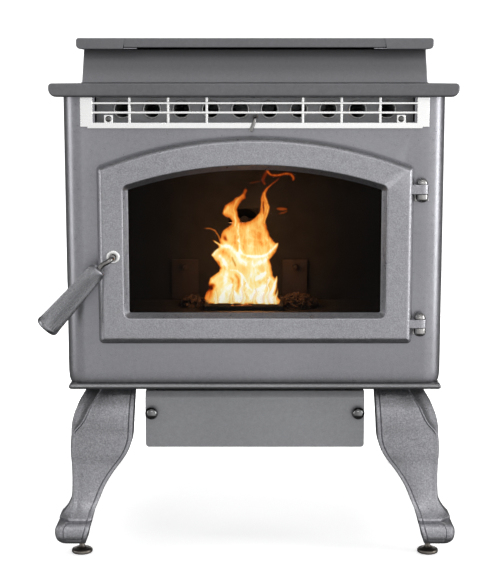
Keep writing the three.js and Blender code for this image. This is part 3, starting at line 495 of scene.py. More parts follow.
def galv_mat():
    m, nt, p = new_mat("zinc_sheet")
    v = coords(nt)
    vo = nt.nodes.new("ShaderNodeTexVoronoi")
    vo.inputs["Scale"].default_value = 60
    nt.links.new(v, vo.inputs["Vector"])
    f = nt.nodes.new("ShaderNodeSeparateColor")
    nt.links.new(vo.outputs["Color"], f.inputs[0])
    c = ramp(nt, f.outputs[0], [(0.0, (0.36, 0.37, 0.38)), (0.5, (0.45, 0.46, 0.47)), (1.0, (0.56, 0.57, 0.58))])
    nt.links.new(mix(nt, 0.25, c, ramp(nt, noise(nt, v, 8), [(0.3, (0.3, 0.3, 0.31)), (0.7, (0.5, 0.5, 0.51))])), p.inputs["Base Color"])
    p.inputs["Metallic"].default_value = 0.9
    nt.links.new(maprange(nt, f.outputs[1], 0, 1, 0.28, 0.5), p.inputs["Roughness"])
    bump(nt, p, noise(nt, v, 350, 2), 0.1, 0.0002)
    return m


M["galv"] = galv_mat()


def firebox_mat():
    """Sooty steel inside; the strip behind the grille is painted like the cabinet."""
    m, nt, p = new_mat("firebox_black")
    t = nt.nodes.new("ShaderNodeTexCoord")
    s = nt.nodes.new("ShaderNodeSeparateXYZ")
    nt.links.new(t.outputs["Object"], s.inputs[0])
    up = maprange(nt, s.outputs["Z"], 0.7255, 0.7265, 0, 1)
    fr = maprange(nt, s.outputs["Y"], -0.2475, -0.2465, 1, 0)
    k = math_node(nt, "MULTIPLY", up, fr)
    v = t.outputs["Object"]
    soot = ramp(nt, noise(nt, v, 9, 4, 0.6), [(0.35, (0.007, 0.0065, 0.006)), (0.6, (0.014, 0.0125, 0.011)), (0.8, (0.026, 0.021, 0.017))])
    grey = ramp(nt, noise(nt, v, 620, 2, 0.6), [(0.3, (0.36, 0.36, 0.375)), (0.7, (0.46, 0.46, 0.475))])
    nt.links.new(mix(nt, k, soot, grey), p.inputs["Base Color"])
    nt.links.new(maprange(nt, noise(nt, v, 30, 3), 0.3, 0.7, 0.62, 0.85), p.inputs["Roughness"])
    p.inputs["Specular IOR Level"].default_value = 0.3
    bump(nt, p, noise(nt, v, 240, 4, 0.7), 0.35, 0.0006)
    return m


M["firebox"] = firebox_mat()


def soot_mat(name, base, rough=0.8, spec=0.3, amount=0.5):
    m, nt, p = new_mat(name)
    v = coords(nt)
    a = noise(nt, v, 22, 5, 0.65)
    b = noise(nt, v, 260, 3, 0.6)
    c = ramp(nt, a, [(0.3, tuple(x * (1 - amount) for x in base)), (0.55, base), (0.8, tuple(x * (1 + amount) for x in base))])
    c = mix(nt, 1.0, c, ramp(nt, b, [(0.3, (0.8, 0.8, 0.8)), (0.7, (1.15, 1.12, 1.08))]), "MULTIPLY")
    nt.links.new(c, p.inputs["Base Color"])
    nt.links.new(maprange(nt, a, 0.3, 0.7, rough - 0.1, min(rough + 0.1, 1)), p.inputs["Roughness"])
    p.inputs["Specular IOR Level"].default_value = spec
    bump(nt, p, b, 0.4, 0.0006)
    return m


M["soot"] = soot_mat("sooty_steel", (0.026, 0.023, 0.020))
M["cover"] = soot_mat("cover_steel", (0.022, 0.013, 0.008), rough=0.6, spec=0.4, amount=0.35)
M["retainer"] = soot_mat("black_steel", (0.02, 0.02, 0.02), rough=0.5)
M["rope"] = soot_mat("rope_gasket", (0.05, 0.047, 0.043), rough=0.95, spec=0.1)
M["plastic"] = coat_paint("black_plastic", (0.022, 0.022, 0.024), rough=0.45, metallic=0.0, speck=900, speck_amt=0.1, bump_s=0.15, edge_highlight=0.05)


def pellet_mat():
    m, nt, p = new_mat("pellets")
    oi = nt.nodes.new("ShaderNodeTexNoise")
    v = coords(nt)
    nt.links.new(v, oi.inputs["Vector"])
    oi.inputs["Scale"].default_value = 90
    oi.inputs["Detail"].default_value = 3
    c = ramp(nt, oi.outputs["Fac"], [(0.3, (0.012, 0.007, 0.004)), (0.5, (0.045, 0.025, 0.013)), (0.7, (0.095, 0.052, 0.026))])
    nt.links.new(c, p.inputs["Base Color"])
    nt.links.new(maprange(nt, noise(nt, v, 400), 0.3, 0.7, 0.75, 0.95), p.inputs["Roughness"])
    bump(nt, p, noise(nt, v, 700, 3), 0.4, 0.0004)
    return m


M["pellet"] = pellet_mat()


def glass_mat():
    """Smoked ceramic glass, a little soot towards its edges."""
    m, nt, p = new_mat("stove_glass")
    v = coords(nt)
    n = noise(nt, v, 7, 4, 0.6)
    t = nt.nodes.new("ShaderNodeTexCoord")
    s = nt.nodes.new("ShaderNodeSeparateXYZ")
    nt.links.new(t.outputs["Object"], s.inputs[0])
    ex = maprange(nt, math_node(nt, "ABSOLUTE", math_node(nt, "SUBTRACT", s.outputs["X"], 0.0085)), 0.09, 0.215, 0.0, 0.42, True)
    ez = maprange(nt, s.outputs["Z"], 0.47, 0.42, 0.0, 0.12, True)
    a = math_node(nt, "ADD", math_node(nt, "ADD", ex, ez), maprange(nt, n, 0.3, 0.7, 0.08, 0.16), True)
    nt.links.new(a, p.inputs["Alpha"])
    nt.links.new(ramp(nt, n, [(0.3, (0.004, 0.004, 0.004)), (0.7, (0.009, 0.008, 0.007))]), p.inputs["Base Color"])
    p.inputs["Roughness"].default_value = 0.06
    p.inputs["IOR"].default_value = 1.47
    p.inputs["Specular IOR Level"].default_value = 0.035
    return m


M["glass"] = glass_mat()


def rope_bump(m):
    return m


# ================================================================ cabinet
BASE = dict(hx=312.5, y0=-303.5, y1=289)


def base_rim():
    # rolled edge: the upper half of the bead catches light, the lower half turns under
    b = Build()
    loops = []
    prof = [(8.5, 290.0), (4.0, 290.0), (1.7, 290.8), (0.5, 292.2), (0.0, 293.6), (0.0, 294.6), (0.3, 295.4), (1.0, 296.9), (1.75, 298.5), (2.2, 299.4), (3.0, 299.9), (5.5, 300.0)]
    for d, z in prof:
        loops.append(rrect(-314.2 + d, 314.2 - d, -303.8 + d, 289 - min(d, 1.5), z, max(5.0 - d * 0.6, 0.6), 1.0))
    b.loft(loops)
    b = solid(b, [Build().box(-86, 46, -126, -4, 280, 305)])
    make(b, "base_rim", "stove", M["rim"], "base_plate", sharp=40)


def cabinet():
    r = 31
    def wrap(off):
        x, y, q = 313 - off, -300 + off, r - off
        return [(-x, -240)] + arc(-x + q, y + q, q, 180, 270, 14) + arc(x - q, y + q, q, 270, 360, 14) + [(x, -240)]
    out, inn = wrap(0), wrap(3)
    b = Build()
    # levels give the lower edge its slight turn in, as folded sheet has
    lv = [(300.3, 3.0), (301.5, 2.55), (303.5, 1.9), (306.5, 1.2), (310.5, 0.6), (315.5, 0.2), (321.0, 0.0), (777.7, 0.0)]
    rings = []
    for z, d in lv:
        o = [(p[0], p[1], z) for p in wrap(d)]
        o[0], o[-1] = (-313, -240, z), (313, -240, z)
        i = [(p[0], p[1], z) for p in reversed(wrap(max(3, d + 1.6)))]
        i[0], i[-1] = (310, -240, z), (-310, -240, z)
        rings.append(o + i)
    b.loft(rings)
    cut = [
        Build().prism(arch(-230.5, 230.5, 399, 633, 680), "y", -320, -290),
        Build().box(-262, 262, -320, -290, 737, 785),
        Build().box(-255, -229, -320, -290, 504, 524),
    ]
    b = solid(b, cut)
    for k in (-1, 1):
        lug = Build().rbox(k * 239 - 7, k * 239 + 7, -300, -297, 730, 750, 0.4, 1)
        lug = solid(lug, [Build().lathe([(2.9, 0), (2.9, 14)], (k * 239, -305, 742.4), (0, 1, 0), 24)])
        n = len(b.v)
        b.v += lug.v
        b.f += [tuple(i + n for i in f) for f in lug.f]
    b.v = [Vector((x - 3.6 * min(max(-x - 270, 0) / 36, 1) + 1.6 * min(max(x - 270, 0) / 36, 1), y, z)) for x, y, z in b.v]
    make(b, "cabinet_shell", "stove", M["cabinet"], "cabinet_front", sharp=35)
    for k, nm in ((-1, "left"), (1, "right")):
        a, c = (-316.6, -309) if k < 0 else (309, 314.6)
        s = Build().rbox(a, c, -239.7, 284.7, 300.3, 777.7, 0.7, 2)
        make(s, "side_sheet_" + nm, "stove", M["cabinet"], nm + "_side_panel", sharp=35)
        # row of panel screws near the rear edge and front seam
        sc = Build()
        for z in (330, 480, 600, 748):
            for y in (268, -226):
                sc.lathe([(0, 2.0), (1.6, 1.9), (3.4, 1.2), (4.4, 0.2), (4.5, -0.4), (0, -0.4)][::-1], (-316.6 if k < 0 else 314.6, y, z), (k, 0, 0), 20)
        make(sc, "side_screws_" + nm, "stove", M["pin"], sharp=50)


def rear():
    b = Build().rbox(-308.5, 308.5, 285, 288, 300.3, 777.7, 0.6, 1)
    cuts = [
        Build().lathe([(40, 0), (40, 20)], (155, 276, 355), (0, 1, 0), 48),
        Build().lathe([(23, 0), (23, 20)], (20, 276, 326), (0, 1, 0), 40),
        Build().box(-262, -228, 270, 300, 345, 369),
    ]
    for i in range(6):
        z = 372 + i * 16
        cuts.append(Build().prism(arc(-207, z + 3, 3, 90, 270, 8) + arc(-103, z + 3, 3, -90, 90, 8), "y", 270, 300))
    b = solid(b, cuts)
    make(b, "rear_sheet", "stove", M["top"], "rear_panel", sharp=35)
    lou = Build()
    for i in range(6):  # pressed lips under the air slots
        z = 372 + i * 16
        lou.loft([[(x, 288 + d, z - 1.0 + h) for x in (-207, -170, -140, -103)] + [(x, 287.4, z - 3.2) for x in (-103, -140, -170, -207)] for d, h in ((-0.6, 1.2), (2.2, 0.2), (1.4, -1.4))])
    make(lou, "louvre_lips", "stove", M["top"], sharp=40)
    sc = Build()
    for x, z in [(-296, 312), (-296, 540), (-296, 766), (0, 766), (296, 312), (296, 540), (296, 766), (-90, 312), (90, 766), (-200, 520), (-110, 520)]:
        sc.lathe([(0, -0.4), (4.4, -0.4), (4.4, 0.2), (3.4, 1.2), (1.6, 1.9), (0, 2.0)], (x, 288, z), (0, 1, 0), 20)
    make(sc, "rear_screws", "stove", M["pin"], sharp=50)
    # trim rings where the two pipes leave
    rg = Build()
    rg.lathe([(39.2, 0.1), (50, 0.1), (50, 1.2), (48.5, 2.2), (40.5, 2.2), (39.2, 1.2), (39.2, 0.1)], (155, 288, 355), (0, 1, 0), 56)
    rg.lathe([(22.8, 0.1), (31, 0.1), (31, 1.2), (29.6, 2.0), (23.6, 2.0), (22.8, 1.2), (22.8, 0.1)], (20, 288, 326), (0, 1, 0), 48)
    make(rg, "pipe_rings", "stove", M["galv"], sharp=40)


# ================================================================ top shelf, hopper, lid
def top_and_hopper():
    b = bull_slab(330, -333, 292, 778, 800, (13, 6), (4.0, 1.6), (1.2, 1.2), 3.5)
    b.v = [Vector((x - 3.2 * min(max(-x - 280, 0) / 40, 1), y, z)) for x, y, z in b.v]
    b = solid(b, [Build().box(-253, 253, 96, 273, 770, 810)])
    make(b, "shelf", "stove", M["top"], "main_top", sharp=32)
    # hopper collar: leaning walls, crisp folded corners
    b = Build()
    lv = [(800.3, 0), (857, 1)]
    out = [rrect(-299 + 4 * t, 299 - 4 * t, -163 + 3 * t, 286, z, 2.2, 2.2) for z, t in lv]
    inn = [rrect(-296.5 + 4 * t, 296.5 - 4 * t, -160.5 + 3 * t, 283.5, z, 1.2, 1.2) for z, t in lv]
    o = [b.loop(l) for l in out]
    i = [b.loop(l) for l in inn]
    b.bridge(o[0], o[1]); b.bridge(i[1], i[0]); b.bridge(o[1], i[1]); b.bridge(i[0], o[0])
    make(b, "hopper_wall", "stove", M["collar"], "hopper_collar", sharp=40)
    # weld bead round its foot
    path = []
    for (x, y, z) in rrect(-300.0, 300.0, -164.0, 286.6, 800.9, 3, 3, 4):
        path.append((x, y, z))
    w = Build()
    n = 8
    loops = []
    for k in range(len(path)):
        p0, p1, p2 = Vector(path[k - 1]), Vector(path[k]), Vector(path[(k + 1) % len(path)])
        t = (p2 - p0).normalized()
        side = Vector((t.y, -t.x, 0))
        loops.append([tuple(p1 + side * (0.9 * math.cos(2 * math.pi * j / n)) + Vector((0, 0, 0.55 * math.sin(2 * math.pi * j / n)))) for j in range(n)])
    w.loft(loops, wrap=True)
    make(w, "hopper_bead", "stove", M["collar"], sharp=60)
    # fixed ends and rear strip of the hopper top
    b = bull_slab(304.5, -193, 292, 857.3, 876, (7.5, 4.5), (1.3, 1.6), (1.2, 1.2), 2.0)
    e = (225 - 221) * 9 / 19.0
    sb, st = 225 + e, 221 - e
    b = solid(b, [Build().prism([(-sb, 848), (sb, 848), (st, 885), (-st, 885)], "y", -205, -188.2),
                  Build().box(-224, 224, -191.5, 259.6, 848, 885),
                  Build().lathe([(3, 0), (3, 464)], (-232, 250, 868), (1, 0, 0), 24)])
    make(b, "hopper_rim", "stove", M["top"], "hopper_top_frame", sharp=32)
    lips = Build()
    lips.rbox(-223.5, -201, -193.0, -188.0, 857.5, 859.3, 0.6, 2)
    lips.rbox(203, 224.5, -193.0, -188.0, 857.5, 859.3, 0.6, 2)
    make(lips, "seam_lips", "stove", M["cabinet"], sharp=50)
    # lid with a folded edge and a pressed recess under it
    bb = tt = 223.4
    z0, z1 = 860, 876
    b = Build()
    loops = []
    for z in edge_levels(z0, z1, 1.4, 1.6, 4):
        d = inset_at(z, z0, z1, 1.4, 1.6)
        hx = bb + (tt - bb) * (z - z0) / (z1 - z0)
        loops.append(rrect(-hx + d * 0.35, hx - d * 0.35, -191.2 + d, 242 - d, z, 0.8, 0.8))
    b.loft(loops)
    b = solid(b, [Build().rbox(-210, 210, -181, 225, 850, 870, 3, 2)])
    for k in (-1, 1):
        x0, x1 = k * 150 - 22, k * 150 + 22
        kn = Build().rbox(x0, x1, 236, 250, 863.5, 872.5, 0.8, 2)
        kn = solid(kn, [Build().lathe([(3.1, 0), (3.1, 60)], (x0 - 8, 250, 868), (1, 0, 0), 32)])
        rg = Build().lathe([(3.1, 0), (5.6, 0), (6, 0.5), (6, 43.5), (5.6, 44), (3.1, 44), (3.1, 0)], (x0, 250, 868), (1, 0, 0), 32)
        for q in (kn, rg):
            n = len(b.v)
            b.v += q.v
            b.f += [tuple(i + n for i in f) for f in q.f]
    make(b, "lid_sheet", "lid", M["top"], "hopper_lid", sharp=32)


# ================================================================ grille
def grille():
    parts = Build()
    y0, y1, ym, yn = -307, -300.3, -305.5, -302
    for k in (-1, 1):
        parts.rbox(min(k * 285, k * 265), max(k * 285, k * 265), y0, y1, 729.2, 777.7, 0.8, 3)
    parts.rbox(-273.7, 273.7, y0 + 0.05, y1 - 0.05, 726.8, 736.4, 0.8, 3)
    for z0, z1 in ((750.7, 754.7), (766, 770)):
        parts.rbox(-266, 266, ym, yn, z0, z1, 0.9, 3)
    parts.rbox(-266, 266, ym, yn, 776.9, 777.7, 0.3, 1)
    for x in (78.5, 141.6, 204.8):
        for k in (-1, 1):
            parts.rbox(k * x - 2, k * x + 2, ym + 0.25, yn, 730, 777.5, 0.9, 3)
    b = parts
    for k in (-1, 1):
        tab = Build().rbox(k * 239.2 - 7.2, k * 239.2 + 7.2, ym - 0.1, y1, 730, 748.6, 0.7, 2)
        tab = solid(tab, [Build().lathe([(2.9, 0), (2.9, 24)], (k * 239, -318, 742.4), (0, 1, 0), 24)])
        n = len(b.v)
        b.v += tab.v
        b.f += [tuple(i + n for i in f) for f in tab.f]
    make(b, "grille_bars", "stove", M["nickel"], "grille", sharp=45)
    for k, nm in ((-1, "left"), (1, "right")):
        s = Build().lathe([(0, 0.0), (5.0, 0.0), (5.1, 0.7), (4.6, 1.9), (3.2, 2.8), (1.6, 3.15), (0, 3.2)], (k * 239, ym - 0.3, 742.4), (0, -1, 0), 32)
        # cross recess
        c = [Build().box(k * 239 - 2.4, k * 239 + 2.4, -312, ym - 2.0, 741.9, 742.9), Build().box(k * 239 - 0.5, k * 239 + 0.5, -312, ym - 2.0, 740.0, 744.8)]
        s = solid(s, c)
        s.lathe([(0, 0), (2.4, 0), (2.4, 13), (0, 13)], (k * 239, ym - 0.5, 742.4), (0, 1, 0), 16)
        make(s, "screw_head_" + nm, "stove", M["screw"], "grille_screw_" + nm, sharp=40)


def tubes():
    b = Build()
    for i in range(10):
        x = (i - 4.5) * 48.6
        b.lathe([(13.0, 0.9), (13.3, 0.25), (13.9, 0.0), (14.4, 0.1), (14.9, 0.7), (15.0, 1.5), (15.0, 318.0), (13.0, 318.0), (13.0, 0.9)], (x, -275.5, 757), (0, 1, 0), 40)
    plate = Build().rbox(-246, 246, 40.3, 43, 733, 775.5, 0.4, 1)
    plate = solid(plate, [Build().lathe([(13.2, 0), (13.2, 10)], ((i - 4.5) * 48.6, 36, 757), (0, 1, 0), 32) for i in range(10)])
    n = len(b.v)
    b.v += plate.v
    b.f += [tuple(i + n for i in f) for f in plate.f]
    make(b, "tube_bundle", "stove", M["tube"], "heat_exchanger", sharp=50)


def scraper():
    b = Build()
    path = [(1, 26, 745), (1, -120, 745), (1, -250, 745), (1, -303, 745), (1, -307.5, 744.7), (0.6, -310.6, 743.4), (-0.1, -312.0, 741.2), (-1.3, -312.5, 737.4), (-3.2, -312.7, 732.0), (-5.2, -312.9, 726.4), (-6.4, -313, 723.2), (-6.8, -313, 722.2)]
    b.tube(path, lambda t: 3.0 if t < 0.9 else 3.0 - 0.9 * (t - 0.9) * 10 * 0.6, 20)
    b.lathe([(0, 0), (4.6, 0), (5, 0.5), (5, 3.0), (4.6, 3.5), (0, 3.5)], (1, 22, 745), (0, 1, 0), 24)
    make(b, "scraper_hook", "scraper", M["hook"], "scraper_rod", sharp=50)


# ================================================================ door
def door():
    D = (-260.2, 262.0, 369.6, 665.0, 715.0)
    G = (-208.5, 208.5, 423, 627.4, 660)
    b = Build()
    R = 8.5
    loops = []
    loops.append(at_y(arch(*D, d=1.0, rb=9, rs=9), -300.8))
    loops.append(at_y(arch(*D, d=0.2, rb=9, rs=9), -301.3))
    for d, y in ((0, -302), (0, -304), (0.25, -308), (0.8, -311.6), (1.6, -314.6), (2.6, -317.2), (3.8, -319.4), (5.0, -321.0), (6.2, -322.3), (7.4, -323.4), (8.6, -324.3), (10.0, -324.85), (11.5, -325.0)):
        c = d / 11.5
        loops.append(at_y(arch(D[0] + 0.4 * c, D[1] - 0.4 * c, D[2] + 2.4 * c, D[3], D[4], d=d, rb=9, rs=9), y))
    def gl(d, y, rr=3.0):
        loops.append(at_y(arch(*G, d=-d, rb=rr + 0.01, rs=rr + 0.01), y))
    gl(10.8, -325.0)
    gl(9.5, -324.95)
    gl(8.5, -324.5)
    gl(7.7, -323.6)
    gl(7.1, -322.5)
    gl(1.1, -313.9)
    gl(0.5, -313.2)
    gl(0.1, -312.8)
    gl(0.0, -312.6)
    gl(9.9, -312.5, 2.0)
    gl(9.9, -301.2, 2.0)
    gl(10.4, -300.8, 2.0)
    b.loft(loops, wrap=True)
    hole = [Build().lathe([(5, 0), (5, 50)], (-232.8, -345, 517.5), (0, 1, 0), 32)]
    for z0, z1 in ((620.5, 636.0), (398.0, 412.0)):
        # arm: flat bar that runs out of the frame, with a soft edge, rounded round the pin
        pr = [(240, -301.0), (240, -322.4)] + [(x, y) for x, y in arc(275, -311.6, 10.7, -90, 60, 14)] + [(270, -301.0)]
        prof = [(x, y) for x, y in pr]
        a = Build()
        ls = []
        for z, d in ((z0, 0.8), (z0 + 0.25, 0.25), (z0 + 0.9, 0.0), (z1 - 0.9, 0.0), (z1 - 0.25, 0.25), (z1, 0.8)):
            cx, cy = 262, -311.5
            ls.append([(cx + (x - cx) * (1 - d / 24), cy + (y - cy) * (1 - d / 11), z) for x, y in prof])
        a.loft(ls)
        a = solid(a, [Build().lathe([(4, 0), (4, 30)], (275, -311, z0 - 6), (0, 0, 1), 32)])
        n = len(b.v)
        b = solid(b, [], [a])
    b = solid(b, hole)
    make(b, "door_casting", "door", M["door"], "door_frame", sharp=38)
    # ceramic pane
    g = Build()
    P = (-218, 218, 413.5, 629.8, 670.5)
    g.loft([at_y(arch(*P, d=1, rb=2, rs=2), -312), at_y(arch(*P, d=0, rb=2, rs=2), -311.2), at_y(arch(*P, d=0, rb=2, rs=2), -307.8), at_y(arch(*P, d=1, rb=2, rs=2), -307)])
    make(g, "door_pane", "door", M["glass"], "door_glass", sharp=40)
    for nm, z0, z1, top in (("upper", 606.0, 620.2, 636.3), ("lower", 382.5, 397.7, 412.3)):
        # bullet shaped barrel under the arm
        h = z1 - z0
        pr = [(0, 0.0), (3.5, 0.25), (6.2, 1.2), (8.3, 2.9), (9.5, 5.0), (10.0, 7.4), (10.0, h - 1.2), (9.6, h - 0.4), (8.8, h - 0.1), (4.0, h - 0.1), (4.0, 3.0), (0, 3.0)]
        bb = Build().lathe(pr, (275, -311, z0), (0, 0, 1), 48)
        bb.rbox(267.5, 282.5, -306, -300.4, z0 + 3.5, z1 - 0.3, 1.0, 2)
        bb.rbox(263.5, 286.5, -302.2, -300.4, z0 + 1.5, z1 - 0.2, 0.8, 2)
        make(bb, "hinge_barrel_" + nm, "stove", M["hinge"], "hinge_bracket_" + nm, sharp=45)
        dm = Build().lathe([(0, -26), (3.2, -26), (3.6, -25.4), (3.6, 0.0), (9.2, 0.0), (9.5, 0.4), (9.5, 1.6), (9.2, 3.2), (8.3, 5.5), (6.9, 7.6), (5.0, 9.2), (2.7, 10.2), (0, 10.5)], (275, -311, top), (0, 0, 1), 48)
        make(dm, "hinge_dome_" + nm, "stove", M["hinge"], "hinge_pin_" + nm, sharp=45)
    # washer with a countersunk mouth
    w = Build().lathe([(4.9, 0.3), (10.6, 0.3), (11, 0.7), (11, 1.7), (10.2, 2.6), (8.8, 3.0), (6.4, 2.7), (5.2, 2.1), (4.9, 1.4), (4.9, 0.3)], (-232.8, -325, 517.5), (0, -1, 0), 48)
    make(w, "handle_washer", "door", M["washer"], "latch_washer", sharp=50)


def handle():
    c = Vector((-232.8, -352, 517.5))
    a, e = Vector((-253, -352, 502)), Vector((-342, -352, 404))
    u = (e - a).normalized()
    ctrl = [c + Vector((0, 61.6, 0)), c + Vector((0, 30, 0)), c + Vector((0, 14, 0)), c + Vector((-0.5, 6.5, -0.4)), c + Vector((-2.6, 2.0, -1.9)), c + Vector((-6.5, 0.15, -4.8)), a - u * 8, a + u * 2, a + u * 18]
    pts = catmull(ctrl, 8)
    b = Build().tube([tuple(p) for p in pts], 4.3, 24)
    make(b, "latch_rod", "handle", M["shaft"], "latch_shaft", sharp=50)
    # turned grip with fine flutes along it
    prof = [(5.1, 0.6), (9.5, 0.0), (11.6, 0.25), (12.9, 1.0), (13.9, 2.2), (14.3, 4.0), (14.6, 8.0), (15.0, 18.0), (15.9, 40.0), (17.0, 66.0), (18.1, 92.0), (19.1, 116.0), (19.5, 123.5), (19.2, 124.3), (19.7, 125.1), (19.9, 127.0), (19.7, 129.0), (18.9, 131.0), (17.2, 132.4), (14.0, 133.1), (8.0, 133.35), (0, 133.4)]
    def flute(ang, t):
        if t < 6 or t > 122:
            return 0.0
        k = min((t - 6) / 6, (122 - t) / 4, 1.0)
        return -1.15 * k * (0.5 + 0.5 * math.cos(ang * 30)) ** 0.8
    dense = []
    for (r0, t0), (r1, t1) in zip(prof, prof[1:]):
        steps = max(1, int((t1 - t0) / 8))
        for s in range(steps):
            dense.append((r0 + (r1 - r0) * s / steps, t0 + (t1 - t0) * s / steps))
    dense.append(prof[-1])
    dense = [(5.1, 20.0)] + dense
    g = Build().lathe([(0, 20.0)] + dense, tuple(a), tuple(u), 272, flute)
    make(g, "grip", "handle", M["grip"], "handle_grip", sharp=48)


def catmull(ctrl, n):
    out = []
    for i in range(len(ctrl) - 1):
        p0, p1, p2, p3 = ctrl[max(i - 1, 0)], ctrl[i], ctrl[i + 1], ctrl[min(i + 2, len(ctrl) - 1)]
        for k in range(n):
            t = k / n
            out.append(0.5 * ((2 * p1) + (p2 - p0) * t + (2 * p0 - 5 * p1 + 4 * p2 - p3) * t * t + (3 * p1 - p0 - 3 * p2 + p3) * t ** 3))
    out.append(ctrl[-1])
    return out


# ================================================================ ash pan
def ash_pan():
    H = 187
    b = Build()
    # front panel: folded over at the top, rounded lower corners
    def outline(d):
        return arc(-H + 5.5, 183 + 5.5, 5.5 - d, 180, 270, 8) + arc(H - 5.5, 183 + 5.5, 5.5 - d, 270, 360, 8) + [(H - d, 268.4), (-H + d, 268.4)]
    b.loft([at_y(outline(0.5), -275.0), at_y(outline(0.05), -274.6), at_y(outline(0.0), -274.0), at_y(outline(0.0), -266.6), at_y(outline(0.4), -266.0)])
    pr = [(-274.0, 267.2), (-275.0, 268.3), (-275.25, 269.3), (-274.9, 270.3), (-274.0, 271.0), (-270.9, 279.6), (-270.2, 280.7), (-269.2, 281.0), (-267.6, 281.0), (-267.0, 280.4), (-267.0, 267.2)]
    f = Build().prism(pr, "x", -H + 0.2, H - 0.2)
    holes = [Build().lathe([(3.6, 0), (3.6, 40)], (k * 176, -290, 244), (0, 1, 0), 24) for k in (-1, 1)]
    b = solid(b, holes, [f])
    tray = Build()
    o = [rrect(-160 + d, 160 - d, -267 + d, 30 - d, z, 4, 4, 4) for z, d in ((190, 1.0), (191, 0.0), (261.4, 0.0), (262, 0.3))]
    i = [rrect(-158 + d, 158 - d, -265 + d, 28 - d, z, 3, 3, 4) for z, d in ((262, -0.3), (261.4, 0.0), (193, 0.0), (192, 1.0))]
    tray.loft(o + i)
    n = len(b.v)
    b.v += tray.v
    b.f += [tuple(k + n for k in q) for q in tray.f]
    make(b, "ash_drawer_sheet", "ash_drawer", M["ash"], "ash_pan", sharp=35)
    for k, nm in ((-1, "left"), (1, "right")):
        s = Build().lathe([(0, 0), (5.2, 0), (5.4, 0.5), (5.2, 2.3), (6.4, 2.9), (9.2, 3.4), (10.6, 4.4), (11.0, 6.0), (11.0, 7.2), (10.6, 9.2), (9.6, 11.3), (7.9, 13.3), (5.6, 14.8), (2.9, 15.6), (0, 15.8)], (k * 176, -275.3, 244), (0, -1, 0), 48)
        s.lathe([(0, 0), (3, 0), (3, 17.2), (0, 17.2)], (k * 176, -275.5, 244), (0, 1, 0), 20)
        make(s, "knob_" + nm, "thumb_" + nm, M["knob"], "thumb_screw_" + nm, sharp=50)


# ================================================================ legs
def smooth_table(table, z):
    """Monotone cubic through (z, value) pairs."""
    zs = [t[0] for t in table]
    vs = [t[1] for t in table]
    if z <= zs[0]:
        return vs[0]
    if z >= zs[-1]:
        return vs[-1]
    i = max(k for k in range(len(zs) - 1) if zs[k] <= z)
    def slope(k):
        if k == 0 or k == len(zs) - 1:
            j = min(k, len(zs) - 2)
            return (vs[j + 1] - vs[j]) / (zs[j + 1] - zs[j])
        d0 = (vs[k] - vs[k - 1]) / (zs[k] - zs[k - 1])
        d1 = (vs[k + 1] - vs[k]) / (zs[k + 1] - zs[k])
        if d0 * d1 <= 0:
            return 0.0
        return 2 * d0 * d1 / (d0 + d1)
    h = zs[i + 1] - zs[i]
    t = (z - zs[i]) / h
    m0, m1 = slope(i) * h, slope(i + 1) * h
    return (2 * t ** 3 - 3 * t * t + 1) * vs[i] + (t ** 3 - 2 * t * t + t) * m0 + (-2 * t ** 3 + 3 * t * t) * vs[i + 1] + (t ** 3 - t * t) * m1


OUT = [(24, -325.5), (25.5, -329.5), (29, -334.2), (34, -337.6), (41, -339.3), (48, -339.6), (54, -338.5), (59.5, -335.0), (62.2, -331.0), (63.2, -330.2), (64.2, -331.4), (66.5, -333.8), (69, -333.6), (72, -330.6), (77, -326.0), (84, -321.0), (92, -316.5), (101, -313.2), (117, -311.6), (133, -311.2), (158, -311.6), (181, -313), (200, -312.4), (214, -311.2), (225, -311.4), (237, -309.6), (253, -304), (269, -295), (282, -286.8), (289.7, -281)]
INN = [(24, -289.5), (25.5, -288.3), (29, -287), (42, -284), (52, -281), (63, -278.2), (67, -277), (77, -274), (101, -264), (117, -257.5), (133, -249), (146, -240.5), (158, -231.8), (170, -222.8), (181, -216), (193, -211), (206, -207.9), (227, -206.5), (258, -205.0), (289.7, -203.5)]
CHA = [(24, 5.0), (30, 7.0), (50, 7.5), (60, 7.0), (63, 8.0), (65, 19.0), (68, 18.0), (72, 15.5), (77, 13.0), (84, 9.5), (92, 6.0), (101, 3.6), (117, 2.2), (133, 1.8), (181, 1.8), (205, 1.8), (212, 2.2), (217, 4.6), (222, 9.0), (229, 15.0), (238, 19.0), (250, 20.5), (268, 20.5), (289.7, 21.0)]
WALL = [(24, 0.9), (67, 0.75), (101, 0.55), (158, 0.42), (206, 0.3), (289.7, 0.3)]


